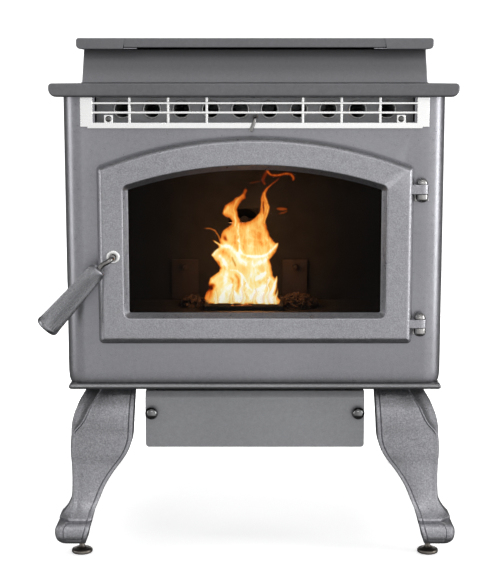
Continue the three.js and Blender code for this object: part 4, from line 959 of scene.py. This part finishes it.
def leg(name, kx, ky):
    zs = []
    z = 24.0
    fine = [24, 24.5, 25.5, 27, 29, 30.6, 31.6, 32.2, 32.8, 33.4, 34.4, 36, 38.5, 41, 44, 48, 51, 54, 57, 59.5, 61, 62.2, 63.2, 63.8, 64.3, 65.0, 66.5, 68, 70, 72, 74.5, 77, 80, 84, 88, 92]
    zs = [float(v) for v in fine]
    z = 96.0
    while z < 206:
        zs.append(z)
        z += 5.5
    z = 206.0
    while z < 232:
        zs.append(z)
        z += 2.0
    while z < 289.7:
        zs.append(z)
        z += 4.0
    zs.append(289.7)
    b = Build()
    loops = []
    my = -6.0
    for z in zs:
        xo, xi, c, w = (smooth_table(t, z) for t in (OUT, INN, CHA, WALL))
        yf = -300 + (xo + 311)
        width = xi - xo
        W = width - c
        t = max(min(width * w, width - 1.5), 3.0)
        upper = min(max((z - 205) / 12, 0), 1)      # ridge bead is there above the knee
        lowpanel = 1.0 if z < 61.5 else 0.0          # inset panel of the foot
        keel = 1 - upper
        # u: distance from the inner edge, d: how far the surface lies behind the front plane
        g = 7.6
        cols = [(0.0, 2.6), (0.35, 1.2), (1.1, 0.35), (2.2, 0.0), (g - 1.3, 0.0), (g - 0.6, 0.9), (g, 1.5), (g + 0.6, 0.9), (g + 1.3, 0.0)]
        crown = 1.6 * min(W / 60, 1.0) * (0.0 if z < 66 else min((z - 66) / 20, 1.0))
        for s in (0.12, 0.25, 0.4, 0.55, 0.7, 0.83):
            u0, u1 = g + 1.3, W - 8.2
            cols.append((u0 + (u1 - u0) * s, None))
        gr = max(upper, 0.0)
        gp = lowpanel
        cols += [(W - 8.2, 0.0), (W - 7.4, 1.3 * gp), (W - 6.6, 0.0), (W - 4.6, 0.0), (W - 4.0, 1.1 * gr), (W - 3.3, 0.5 * gr), (W - 2.2, -0.5 * gr), (W - 1.1, 0.1 * gr)]
        last_d = 0.9 * gr + (0.35 if not gr else 0)
        face = []
        inset_bottom = 1.3 * math.exp(-((z - 32.8) / 0.55) ** 2) if z < 40 else 0.0
        for u, d in cols:
            u = max(u, 0.0)
            if d is None:
                k = (u - (g + 1.3)) / max(W - 8.2 - g - 1.3, 1e-3)
                d = -crown * 4 * k * (1 - k) if W > 26 else 0.0
                d += inset_bottom
            if g + 0.5 < u < W - 7.0 and d >= 0 and inset_bottom:
                d = max(d, inset_bottom)
            face.append((xi - u, yf + d))
        ridge = (xo + c, yf + last_d)
        # corner: straight chamfer above the knee and at the cuff, round elsewhere
        rnd = 1.0 if z < 63.3 else (0.0 if z < 92 else (0.6 if z < 214 else 0.0))
        side_ridge = (xo + last_d, yf + c)
        mid = []
        for k in range(1, 8):
            q = k / 8
            sx = ridge[0] + (side_ridge[0] - ridge[0]) * q
            sy = ridge[1] + (side_ridge[1] - ridge[1]) * q
            bul = 4 * q * (1 - q) * (0.207 * c * rnd * 1.0 - (0.11 * c * (1 - rnd) if z > 214 else 0.0))
            mid.append((sx - bul * 0.7071 * 1.0, sy - bul * 0.7071))
        # the side face mirrors the front face about the corner's diagonal
        def mirror(p):
            return (p[1] - yf + xo, p[0] - xo + yf)
        side = [mirror(p) for p in reversed(face)]
        xb, yb = xi, yf + width
        inner = [(xo + t, yb - 0.0), (xo + t, yf + t + (yb - yf - t) * 0.5), (xo + t, yf + t), (xo + t + (xi - xo - t) * 0.5, yf + t), (xi, yf + t)]
        ring = face + [ridge] + mid + [side_ridge] + side + inner
        loops.append([((x if kx < 0 else -x), (y if ky < 0 else 2 * my - y), z) for x, y in ring])
    b.loft(loops)
    lx, ly = kx * 298, (-287 if ky < 0 else 275)
    b = solid(b, [Build().lathe([(4.5, 0), (4.5, 27)], (lx, ly, 19), (0, 0, 1), 24)])
    if ky > 0:
        # the rear legs are slimmer towards the middle above the knee, so the front ones hide them
        v = []
        for x, y, z in b.v:
            t = min(max((z - 88) / 70, 0), 1)
            f = 1 - 0.38 * t * t * (3 - 2 * t)
            v.append(Vector((kx * (338 - max(338 - kx * x, 0) * f) if kx * x < 338 else x, y, z)))
        b.v = v
    make(b, "cast_leg_" + name, "stove", M["leg"], "leg_" + name, sharp=42)
    q = 1.0 if ky < 0 else 0.68
    lv = Build().lathe([(0, 0.0), (15.6 * q, 0.0), (16.9 * q, 0.5), (17.8 * q, 1.6), (18.0 * q, 3.0), (17.9 * q, 4.6), (17.2 * q, 6.0), (15.6 * q, 7.1), (12.6 * q, 7.9), (9.4 * min(q * 1.1, 1), 8.5), (7.2, 9.6), (5.6, 11.4), (4.6, 13.6), (4.1, 16.2), (4.0, 19.0), (4.0, 41.5), (3.4, 42.0), (0, 42.0)], (lx, ly, 0), (0, 0, 1), 48)
    make(lv, "glide_" + name, {"front_left": "level_fl", "front_right": "level_fr", "rear_left": "level_rl", "rear_right": "level_rr"}[name], M["level"], "leveller_" + name, sharp=50)


# ================================================================ fire
def pellet_pile(name, cx, cy, z, rx, ry, h, n, seed, body, mat):
    rng = random.Random(seed)
    b = Build()
    # heap under the loose ones
    prof = [(1.0, 0.0), (0.96, 0.12), (0.85, 0.35), (0.66, 0.62), (0.42, 0.85), (0.18, 0.97), (0, 1.0)]
    for k in range(n):
        a = rng.uniform(0, 2 * math.pi)
        q = math.sqrt(rng.random()) * 0.97
        x, y = cx + rx * q * math.cos(a), cy + ry * q * math.sin(a)
        zz = z + 3.3 + max(h - 6, 0) * max(1 - q * q, 0) ** 0.8
        l = rng.uniform(8, 15)
        d = Vector((rng.uniform(-1, 1), rng.uniform(-1, 1), rng.uniform(-0.35, 0.35))).normalized()
        p = Vector((x, y, zz)) - d * l / 2
        p.z = max(p.z, z + 3.1)
        r = rng.uniform(2.7, 3.2)
        b.lathe([(0, 0), (r * 0.85, 0.1), (r, 0.7), (r, l - 0.7), (r * 0.85, l - 0.1), (0, l)], tuple(p), tuple(d), 10)
    hb = Build()
    rings = []
    for rr, t in prof[:-1]:
        rings.append([(cx + rx * rr * math.cos(2 * math.pi * k / 28), cy + ry * rr * math.sin(2 * math.pi * k / 28), z + 0.1 + (h - 5) * t) for k in range(28)])
    ids = [b.loop(l) for l in rings]
    for p0, p1 in zip(ids, ids[1:]):
        b.bridge(p0, p1)
    b.cap(ids[0])
    b.fan(ids[-1], (cx, cy, z + 0.1 + (h - 5)))
    return make(b, name, body, mat, sharp=50)


def seg_dist(X, Z, p, q, rp, rq):
    dx, dz = q[0] - p[0], q[1] - p[1]
    L = dx * dx + dz * dz + 1e-9
    t = np.clip(((X - p[0]) * dx + (Z - p[1]) * dz) / L, 0, 1)
    return rp + (rq - rp) * t - np.hypot(X - (p[0] + dx * t), Z - (p[1] + dz * t)), t


def smooth_line(pts, n=6):
    v = [Vector(p) for p in pts]
    return [tuple(p) for p in catmull(v, n)]


# The flame is drawn in steps of 0.18 mm: U to the right, V down, with the pot's rim at V 1460.
def uv_mm(u, v):
    return -117.5 + 0.1832 * u, 404.0 + (1460 - v) * 0.1822


def polygon_depth(U, V, poly):
    """How far inside an outline each point lies (negative outside)."""
    best = np.full(U.shape, 1e9)
    inside = np.zeros(U.shape, bool)
    n = len(poly)
    for i in range(n):
        (x0, y0), (x1, y1) = poly[i], poly[(i + 1) % n]
        dx, dy = x1 - x0, y1 - y0
        t = np.clip(((U - x0) * dx + (V - y0) * dy) / (dx * dx + dy * dy + 1e-9), 0, 1)
        best = np.minimum(best, np.hypot(U - x0 - t * dx, V - y0 - t * dy))
        if y0 != y1:
            cross = (V >= min(y0, y1)) & (V < max(y0, y1)) & (U < x0 + (V - y0) * dx / dy)
            inside ^= cross
    return np.where(inside, best, -best)


def stroke_field(U, V, pts, soft=1.0):
    """1 on a drawn line, falling to 0 at its width. pts: (u, v, half width)."""
    line = smooth_line(pts, 5) if len(pts) > 2 else [tuple(Vector(q)) for q in pts]
    out = np.zeros(U.shape)
    for a, b in zip(line, line[1:]):
        dx, dy = b[0] - a[0], b[1] - a[1]
        t = np.clip(((U - a[0]) * dx + (V - a[1]) * dy) / (dx * dx + dy * dy + 1e-9), 0, 1)
        w = np.maximum(a[2] + (b[2] - a[2]) * t, 1.0)
        r = np.hypot(U - a[0] - t * dx, V - a[1] - t * dy) / w
        out = np.maximum(out, np.exp(-(r ** 2) * 1.3 * soft))
    return out


def lattice(x, y, seed):
    """Smooth value noise on a unit lattice, 0 to 1."""
    i, j = np.floor(x).astype(np.int64), np.floor(y).astype(np.int64)
    fx, fy = x - i, y - j
    fx, fy = fx * fx * (3 - 2 * fx), fy * fy * (3 - 2 * fy)
    def h(a, b):
        n = (a * 374761393 + b * 668265263 + seed * 69069) & 0xffffffff
        n = ((n ^ (n >> 13)) * 1274126177) & 0xffffffff
        return ((n ^ (n >> 16)) & 0xffff) / 65535.0
    return (h(i, j) * (1 - fx) + h(i + 1, j) * fx) * (1 - fy) + (h(i, j + 1) * (1 - fx) + h(i + 1, j + 1) * fx) * fy


def ridges(U, V, size, seed):
    """Thin bright folds that run mostly upward and bend, 0 to 1."""
    wx = (lattice(U / (size * 2.6), V / (size * 3.0), seed + 11) - 0.5) * size * 3.4
    wy = (lattice(U / (size * 2.2), V / (size * 2.4), seed + 23) - 0.5) * size * 2.6
    n = lattice((U + wx) / size, (V + wy) / (size * 2.4), seed)
    return (1 - np.abs(2 * n - 1)) ** 1.6


def fire_sheet(name, y, depth, mat, outline=None, base=None, bright=(), dark=(), holes=(), own=(), step=8.0, sway=5.0, body="pot", lift=0.0):
    """One thin lens of flame with its heat and density kept as attributes."""
    us = np.arange(60, 1075, step)
    vs = np.arange(80, 1461, step)
    vs = np.append(vs[vs < 1456], 1460.0)
    U, V = np.meshgrid(us, vs, indexing="ij")
    wob = 3.2 * np.sin(V * 0.030 + U * 0.012) + 2.0 * np.sin(V * 0.075 + U * 0.031 + 1.1)
    wob *= np.clip((1450 - V) / 60, 0, 1)
    heat = np.zeros(U.shape)
    dens = np.zeros(U.shape)
    if outline:
        d = polygon_depth(U + wob, V, outline)
        hb = np.interp(V, [b[0] for b in base], [b[1] for b in base])
        ab = np.interp(V, [b[0] for b in base], [b[2] for b in base])
        soft = np.interp(V, [0, 500, 900, 1460], [16, 15, 12, 9])
        k = np.clip(d / soft, 0, 1)
        k = k * k * (3 - 2 * k)
        dens = ab * k
        rim = np.clip(d / (soft * 3.2), 0, 1)
        heat = hb * (0.45 + 0.55 * rim)
    for pts, h, a in own:
        f = stroke_field(U + wob, V, pts)
        dens = np.maximum(dens, a * f)
        heat = np.maximum(heat, h * (0.35 + 0.65 * f))
    gate = np.clip(dens * 1.6, 0, 1)
    curl = ridges(U, V, 52.0, 3) * 0.6 + ridges(U, V, 27.0, 7) * 0.4
    fade = np.interp(V, [80, 600, 1000, 1460], [0.06, 0.15, 0.24, 0.22])
    heat += (curl - 0.42) * fade * gate
    for pts, g in bright:
        heat += g * (0.42 + 0.75 * curl) * stroke_field(U + wob + 9 * (curl - 0.5), V, pts) * gate
    for pts, g in dark:
        heat -= g * stroke_field(U + wob, V, pts)
    for pts, g in holes:
        f = stroke_field(U + wob, V, pts)
        dens *= 1 - g * f
        heat -= 0.5 * g * f
    heat = np.clip(heat, 0.0, 1.15)
    # the last row stands on the pot's rim, so it keeps its density there
    keep = dens > 0.02
    idx, v, f, ah, ad = {}, [], [], [], []
    cell = keep[:-1, :-1] | keep[1:, :-1] | keep[:-1, 1:] | keep[1:, 1:]
    full = np.zeros_like(keep)
    c = np.pad(cell, 1)
    full = c[:-1, :-1] & c[1:, :-1] & c[:-1, 1:] & c[1:, 1:]
    th = depth * np.sqrt(np.clip(dens, 0, 1))
    yy = y + sway * np.sin(U * 0.006 + V * 0.004) + 0.4 * sway * np.sin(V * 0.009)

    def vert(i, j, side):
        rimv = not full[i, j]
        key = (i, j, 0 if rimv else side)
        if key not in idx:
            px, pz = uv_mm(us[i], vs[j])
            idx[key] = len(v)
            v.append((px, float(yy[i, j]) - (0 if rimv else side * float(th[i, j]) * 0.5 + side * 0.15), pz + lift))
            ah.append(float(heat[i, j]))
            ad.append(float(dens[i, j]))
        return idx[key]

    for i in range(cell.shape[0]):
        for j in range(cell.shape[1]):
            if cell[i, j]:
                q = [(i, j), (i + 1, j), (i + 1, j + 1), (i, j + 1)]
                a = [vert(x, z, 1) for x, z in q]
                b = [vert(x, z, -1) for x, z in q]
                f.append(tuple(a))
                if set(a) != set(b):
                    f.append(tuple(reversed(b)))
    me = bpy.data.meshes.new(name)
    me.from_pydata([((a + OX) * MM, (c2 + OY) * MM, e * MM) for a, c2, e in v], [], f)
    for nm, vals in (("fire_heat", ah), ("fire_dens", ad)):
        at = me.attributes.new(nm, "FLOAT", "POINT")
        at.data.foreach_set("value", np.array(vals, np.float32))
    me.update()
    me.shade_smooth()
    o = bpy.data.objects.new(name, me)
    scene.collection.objects.link(o)
    o.data.materials.append(mat)
    o.visible_shadow = False
    o.visible_glossy = False
    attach(o, body)
    return o


def flame_mat(name, strength, cool, stretch=0.25, freq=30.0, fine=0.5):
    """Glow without a surface: colour follows the heat drawn for each place, streaked along the flame."""
    m, nt, p = new_mat(name)
    def attr(n):
        a = nt.nodes.new("ShaderNodeAttribute")
        a.attribute_name = n
        return a.outputs["Fac"]
    v = coords(nt, (1.0, 1.0, stretch))
    n1 = noise(nt, v, freq, 2.0, 0.5, 1.6)
    n2 = noise(nt, v, freq * 3.1, 3.0, 0.55, 2.4)
    n = math_node(nt, "ADD", math_node(nt, "MULTIPLY", n1, 1 - fine), math_node(nt, "MULTIPLY", n2, fine))
    n = maprange(nt, n, 0.30, 0.70, -1.0, 1.0)
    heat = math_node(nt, "ADD", attr("fire_heat"), math_node(nt, "MULTIPLY", n, cool))
    heat = math_node(nt, "MINIMUM", math_node(nt, "MAXIMUM", heat, 0.0), 1.0)
    col = ramp(nt, heat, [(0.0, (0.10, 0.008, 0.001)), (0.14, (0.36, 0.036, 0.003)), (0.30, (0.78, 0.155, 0.014)), (0.46, (0.96, 0.33, 0.045)), (0.62, (1.0, 0.56, 0.13)), (0.78, (1.0, 0.78, 0.30)), (0.90, (1.0, 0.92, 0.56)), (1.0, (1.0, 0.99, 0.86))])
    nt.links.new(col, p.inputs["Emission Color"])
    p.inputs["Emission Strength"].default_value = strength
    p.inputs["Base Color"].default_value = (0, 0, 0, 1)
    p.inputs["Roughness"].default_value = 1.0
    p.inputs["Specular IOR Level"].default_value = 0.0
    d = attr("fire_dens")
    t = maprange(nt, heat, 0.05, 0.55, 0.55, 1.0)
    nt.links.new(math_node(nt, "MULTIPLY", d, t, True), p.inputs["Alpha"])
    return m


def fire():
    # heap of glowing pellets in the pot
    m, nt, p = new_mat("embers")
    v = coords(nt)
    n = noise(nt, v, 70, 3, 0.6)
    c = ramp(nt, n, [(0.36, (0.02, 0.004, 0.0)), (0.5, (0.55, 0.10, 0.01)), (0.62, (1.0, 0.42, 0.08)), (0.75, (1.0, 0.8, 0.4))])
    nt.links.new(c, p.inputs["Emission Color"])
    p.inputs["Emission Strength"].default_value = 1.0
    nt.links.new(ramp(nt, n, [(0.3, (0.02, 0.014, 0.01)), (0.7, (0.10, 0.05, 0.03))]), p.inputs["Base Color"])
    p.inputs["Roughness"].default_value = 0.9
    bump(nt, p, noise(nt, v, 300, 3), 0.4, 0.0006)
    pellet_pile("ember_bed", -20, -66, 360, 52, 46, 36, 90, 5, "pot", m)
    pellet_pile("spill_right", 80, -44, 390.4, 36, 42, 24, 130, 8, "stove", M["pellet"])
    pellet_pile("spill_left", -116, -34, 390.4, 22, 36, 18, 70, 9, "stove", M["pellet"])
    body = [(150, 1460), (132, 1400), (150, 1335), (186, 1290), (178, 1240), (195, 1190), (235, 1160), (280, 1125), (286, 1080), (262, 1035), (232, 988),
            (198, 957), (235, 915), (276, 880), (262, 850), (208, 796), (252, 812), (290, 838), (286, 800), (268, 756), (240, 720), (203, 700), (150, 691),
            (100, 686), (150, 680), (205, 684), (247, 704), (278, 742), (300, 786), (306, 745), (330, 702), (372, 672), (402, 645), (408, 610), (390, 584),
            (352, 574), (320, 540), (322, 500), (342, 452), (383, 425), (425, 402), (440, 375), (480, 362), (514, 332), (532, 298), (553, 278), (570, 300),
            (550, 345), (552, 388), (520, 404), (490, 442), (470, 500), (477, 562), (498, 622), (545, 626), (600, 610), (646, 576), (680, 530), (696, 460),
            (700, 390), (711, 325), (745, 284), (792, 244), (842, 205), (905, 152), (868, 212), (818, 252), (776, 292), (758, 332), (770, 400), (788, 470),
            (786, 530), (762, 590), (752, 640), (766, 700), (796, 770), (830, 822), (850, 842), (876, 832), (870, 880), (856, 930), (820, 975), (795, 1010),
            (802, 1060), (812, 1120), (826, 1165), (846, 1190), (869, 1160), (870, 1210), (857, 1290), (852, 1350), (887, 1400), (930, 1460)]
    base = [(80, 0.20, 0.55), (300, 0.34, 0.62), (480, 0.50, 0.80), (640, 0.56, 0.88), (900, 0.62, 0.92), (980, 0.72, 0.96), (1200, 0.76, 0.98), (1460, 0.84, 0.99)]
    bright = [
        ([(480, 640, 9), (478, 760, 10), (486, 860, 13), (505, 935, 15), (560, 970, 15), (650, 976, 13), (740, 968, 13), (792, 930, 16), (835, 885, 14), (866, 846, 7)], 0.42),
        ([(215, 958, 12), (258, 908, 20), (320, 872, 22), (382, 870, 24), (432, 908, 24), (474, 960, 24)], 0.42),
        ([(210, 800, 6), (255, 830, 13), (300, 858, 14)], 0.40),
        ([(300, 965, 14), (345, 1040, 20), (366, 1120, 22), (350, 1230, 24), (328, 1330, 26), (292, 1440, 22)], 0.30),
        ([(478, 960, 24), (500, 1010, 28), (570, 1040, 28), (650, 1050, 28), (730, 1030, 24), (775, 985, 16)], 0.28),
        ([(655, 1205, 15), (700, 1170, 20), (742, 1140, 14)], 0.55),
        ([(600, 1390, 14), (660, 1320, 18), (720, 1292, 18), (770, 1240, 16), (792, 1175, 9)], 0.32),
        ([(700, 1460, 44), (712, 1380, 46), (760, 1400, 46), (830, 1460, 20)], 0.55),
        ([(862, 1180, 6), (838, 1262, 12), (806, 1330, 16), (772, 1362, 12)], 0.42),
        ([(248, 1408, 9), (268, 1452, 14), (340, 1455, 13), (425, 1452, 9)], 0.5),
        ([(372, 1306, 12), (396, 1278, 16), (416, 1256, 7)], 0.5),
        ([(438, 1325, 8), (456, 1372, 16), (486, 1430, 26), (512, 1330, 16), (512, 1210, 12), (505, 1150, 8)], 0.38),
        ([(402, 1112, 8), (470, 1122, 10), (530, 1190, 11), (562, 1262, 12), (604, 1312, 10)], 0.25),
        ([(742, 640, 6), (770, 520, 9), (774, 460, 8), (752, 380, 7), (736, 330, 5)], 0.26),
        ([(705, 480, 4), (716, 400, 5), (735, 320, 5), (790, 260, 5), (850, 205, 4)], 0.20),
        ([(450, 660, 7), (446, 560, 9), (432, 470, 8), (462, 405, 7), (520, 350, 5)], 0.24),
        ([(345, 520, 15), (372, 480, 18), (400, 452, 10)], 0.16),
        ([(560, 690, 34), (600, 800, 46), (590, 900, 34)], 0.14),
        ([(740, 700, 14), (770, 800, 18), (800, 870, 16)], 0.12),
        ([(590, 1400, 30), (560, 1300, 26), (600, 1200, 34), (640, 1120, 36)], 0.12),
    ]
    dark = [
        ([(690, 740, 26), (688, 800, 32), (720, 860, 22)], 0.16),
        ([(640, 700, 7), (642, 860, 8), (640, 950, 6)], 0.10),
        ([(540, 720, 6), (536, 860, 8), (545, 930, 6)], 0.09),
        ([(345, 770, 22), (350, 800, 20)], 0.30),
        ([(440, 760, 12), (438, 840, 12)], 0.16),
        ([(330, 930, 26), (372, 950, 24), (395, 1010, 20)], 0.16),
        ([(452, 1160, 16), (478, 1230, 26), (468, 1320, 18)], 0.34),
        ([(410, 1200, 16), (420, 1290, 12)], 0.20),
        ([(590, 1180, 10), (600, 1270, 12)], 0.12),
        ([(700, 1240, 14), (740, 1200, 10)], 0.16),
        ([(770, 1290, 9), (800, 1220, 8)], 0.18),
        ([(170, 1420, 44), (188, 1350, 44), (215, 1270, 34)], 0.46),
        ([(560, 1380, 26), (600, 1440, 22)], 0.10),
        ([(880, 1440, 16), (860, 1390, 12)], 0.18),
        ([(285, 1030, 12), (290, 1090, 16)], 0.22),
        ([(372, 640, 16), (400, 610, 10)], 0.12),
    ]
    holes = [
        ([(414, 985, 9), (430, 1035, 13), (448, 1070, 9)], 0.55),
        ([(350, 784, 18), (352, 796, 18)], 0.35),
        ([(220, 1262, 22), (205, 1300, 20)], 0.45),
        ([(826, 1085, 12), (832, 1120, 10)], 0.5),
        ([(728, 420, 5), (726, 500, 6), (728, 540, 5)], 0.75),
    ]
    own = [
        ([(905, 152, 10), (850, 158, 12), (800, 150, 10), (768, 118, 14)], 0.26, 0.70),
        ([(890, 156, 10), (940, 143, 11), (990, 148, 13), (1022, 180, 12), (1020, 208, 6)], 0.24, 0.62),
        ([(768, 118, 12), (742, 156, 16), (724, 200, 14), (738, 244, 7)], 0.10, 0.42),
        ([(868, 492, 6), (908, 496, 14), (958, 498, 6)], 0.16, 0.50),
        ([(884, 542, 3), (930, 534, 5), (966, 518, 3)], 0.10, 0.35),
        ([(590, 236, 3), (640, 226, 6), (694, 214, 3)], 0.05, 0.16),
    ]
    fire_sheet("flame_body", -62, 6, flame_mat("flame_body", 1.28, 0.11), outline=body, base=base, bright=bright, dark=dark, holes=holes, own=own, lift=-7.2)
    licks = [
        ([(250, 1460, 22), (262, 1400, 18), (250, 1350, 10), (262, 1300, 3)], 0.86, 0.62),
        ([(410, 1460, 24), (405, 1400, 18), (425, 1340, 10), (415, 1290, 3)], 0.88, 0.60),
        ([(520, 1460, 26), (540, 1390, 20), (525, 1310, 12), (548, 1240, 3)], 0.90, 0.55),
        ([(760, 1460, 34), (750, 1390, 28), (775, 1310, 16), (762, 1240, 8), (780, 1190, 2)], 0.94, 0.66),
        ([(640, 1460, 22), (632, 1400, 16), (655, 1340, 8), (648, 1300, 2)], 0.88, 0.50),
        ([(850, 1460, 22), (846, 1400, 14), (866, 1340, 6), (860, 1290, 2)], 0.84, 0.55),
        ([(170, 1460, 18), (168, 1410, 12), (186, 1360, 5), (180, 1320, 2)], 0.52, 0.40),
    ]
    fire_sheet("flame_licks", -86, 5, flame_mat("flame_licks", 1.25, 0.10, 0.3, 40.0), own=licks, sway=3.0, lift=-3.2)


base_rim()
cabinet()
rear()
top_and_hopper()
grille()
tubes()
scraper()
door()
handle()
ash_pan()
for nm, kx, ky in (("front_left", -1, -1), ("front_right", 1, -1), ("rear_left", -1, 1), ("rear_right", 1, 1)):
    leg(nm, kx, ky)
fire()

# ---------------------------------------------------------------- CAD pieces kept, with finished materials
KEEP = {
    "lid_hinge_rod": "steel", "hopper_funnel": "galv", "firebox": "firebox", "scraper_plate": "steel", "floor_plate": "soot",
    "burn_pot": "soot", "cleanout_cover_left": "cover", "cleanout_cover_right": "cover", "igniter": "steel", "glass_retainer": "retainer",
    "door_gasket": "rope", "latch_cam": "steel", "latch_catch": "steel", "ash_pan_housing": "retainer", "auger_tube": "soot",
    "auger": "steel", "auger_motor": "motor", "exhaust_blower_housing": "galv", "exhaust_impeller": "steel", "exhaust_motor": "motor",
    "convection_blower_housing": "galv", "convection_wheel": "steel", "air_intake_pipe": "galv", "power_inlet": "plastic",
    "control_panel": "plastic", "heat_dial": "plastic",
}
for n, key in KEEP.items():
    o = nodes[n]
    o.data.materials.clear()
    o.data.materials.append(M[key])
    for poly in o.data.polygons:
        poly.material_index = 0
    if n in ("control_panel", "power_inlet", "ash_pan_housing", "burn_pot", "floor_plate", "cleanout_cover_left", "cleanout_cover_right", "heat_dial"):
        m = o.modifiers.new("edge", "BEVEL")
        m.width, m.segments, m.limit_method, m.angle_limit = 0.0006, 2, "ANGLE", math.radians(50)

# ================================================================ floor, light, camera
def stage():
    me = bpy.data.meshes.new("floor")
    prof = [(-9.0, -0.0004), (3.2, -0.0004)] + [(3.2 + 2.2 * math.sin(math.radians(a)), 2.2 - 2.2 * math.cos(math.radians(a))) for a in range(6, 91, 6)] + [(5.4, 7.0)]
    v, f = [], []
    for y, z in prof:
        v += [(-9, y, z), (9, y, z)]
    for i in range(len(prof) - 1):
        f.append((2 * i, 2 * i + 1, 2 * i + 3, 2 * i + 2))
    me.from_pydata(v, [], f)
    me.shade_smooth()
    o = bpy.data.objects.new("floor", me)
    scene.collection.objects.link(o)
    m, nt, p = new_mat("floor_white")
    c = ramp(nt, noise(nt, coords(nt), 1.2, 2), [(0.3, (0.93, 0.93, 0.93)), (0.7, (0.96, 0.96, 0.96))])
    nt.links.new(c, p.inputs["Base Color"])
    p.inputs["Roughness"].default_value = 0.8
    p.inputs["Specular IOR Level"].default_value = 0.1
    nt.links.new(c, p.inputs["Emission Color"])
    p.inputs["Emission Strength"].default_value = 0.58
    o.data.materials.append(m)
    o.visible_glossy = False
    o.visible_diffuse = False


def area(name, loc, target, sx, sy, power, color=(1, 1, 1)):
    l = bpy.data.lights.new(name, "AREA")
    l.shape, l.size, l.size_y, l.energy, l.color = "RECTANGLE", sx, sy, power, color
    o = bpy.data.objects.new(name, l)
    o.location = loc
    o.rotation_euler = (Vector(target) - Vector(loc)).to_track_quat("-Z", "Y").to_euler()
    scene.collection.objects.link(o)
    return o


def light():
    w = bpy.data.worlds.new("studio")
    scene.world = w
    w.use_nodes = True
    nt = w.node_tree
    nt.nodes.clear()
    out = nt.nodes.new("ShaderNodeOutputWorld")
    bg = nt.nodes.new("ShaderNodeBackground")
    tc = nt.nodes.new("ShaderNodeTexCoord")
    s = nt.nodes.new("ShaderNodeSeparateXYZ")
    nt.links.new(tc.outputs["Generated"], s.inputs[0])
    # a broad pale front, dark above, below and behind
    fr = maprange(nt, s.outputs["Y"], 0.75, -0.70, 0.0, 1.0, True)
    lo = maprange(nt, s.outputs["Z"], -0.75, -0.32, 0.0, 1.0, True)
    hi = maprange(nt, s.outputs["Z"], 1.0, 0.35, 0.25, 1.0, True)
    k = math_node(nt, "MULTIPLY", math_node(nt, "MULTIPLY", fr, lo), hi)
    k = math_node(nt, "ADD", math_node(nt, "MULTIPLY", k, maprange(nt, s.outputs["X"], -0.6, 0.6, 0.72, 1.44, True)), maprange(nt, s.outputs["Z"], -0.2, 1.0, 0.07, 0.20))
    nt.links.new(k, bg.inputs["Strength"])
    nt.links.new(bg.outputs[0], out.inputs["Surface"])
    sl = area("side_left", (-2.6, -0.75, 1.02), (0, -0.28, 0.9), 0.8, 2.0, 12.5)
    sr = area("side_right", (2.6, -0.75, 1.02), (0, -0.32, 0.9), 0.9, 2.0, 25)
    area("front_soft", (0.0, -3.6, 2.6), (0, -0.2, 0.5), 2.2, 0.4, 10)
    area("top_strip", (0.0, -1.3, 3.0), (0, -0.33, 0.7), 2.4, 0.35, 4)
    # the cast legs flare sideways, so the two side strips are kept off them
    legs = bpy.data.collections.new("strip_targets")
    for o in scene.objects:
        if o.name.startswith("cast_leg_"):
            legs.objects.link(o)
    for e in legs.collection_objects:
        e.light_linking.link_state = "EXCLUDE"
    only = bpy.data.collections.new("leg_targets")
    for o in scene.objects:
        if o.name.startswith("cast_leg_"):
            only.objects.link(o)
    for k in (-1, 1):
        a = area("leg_strip_left" if k < 0 else "leg_strip_right", (k * 2.6, -0.35, 1.1), (0, -0.3, 0.5), 0.8, 1.8, 5.0)
        a.light_linking.receiver_collection = only
    sl.light_linking.receiver_collection = legs
    sr.light_linking.receiver_collection = legs
    w1 = area("floor_wash", (0.0, 0.6, 4.2), (0, 1.2, 0), 4.5, 3.5, 110)
    w2 = area("back_soft", (0.0, 3.0, 2.4), (0, 0.2, 0.4), 2.6, 1.4, 45)
    w1.visible_glossy = w2.visible_glossy = False
    w3 = area("back_low", (0.0, 3.0, 0.45), (0, 0.3, 0.45), 2.6, 0.8, 14)
    w3.visible_camera = False
    g = bpy.data.lights.new("fire_glow", "POINT")
    g.energy, g.color, g.shadow_soft_size = 1.1, (1.0, 0.42, 0.14), 0.05
    o = bpy.data.objects.new("fire_glow", g)
    o.location = ((-15 + OX) * MM, (-66 + OY) * MM, 0.50)
    scene.collection.objects.link(o)


def camera():
    c = bpy.data.cameras.new("photo_view")
    c.lens, c.sensor_fit, c.sensor_width = 84.9, "AUTO", 36.0
    c.shift_x = -0.0083
    c.clip_start, c.clip_end = 0.05, 60
    o = bpy.data.objects.new("photo_view", c)
    o.location = (0.0085, -2.554, 0.803)
    o.rotation_euler = (math.radians(90 - 8.7), 0, 0)
    scene.collection.objects.link(o)
    scene.camera = o


stage()
light()
camera()
scene.view_settings.view_transform = "Standard"
scene.view_settings.look = "None"
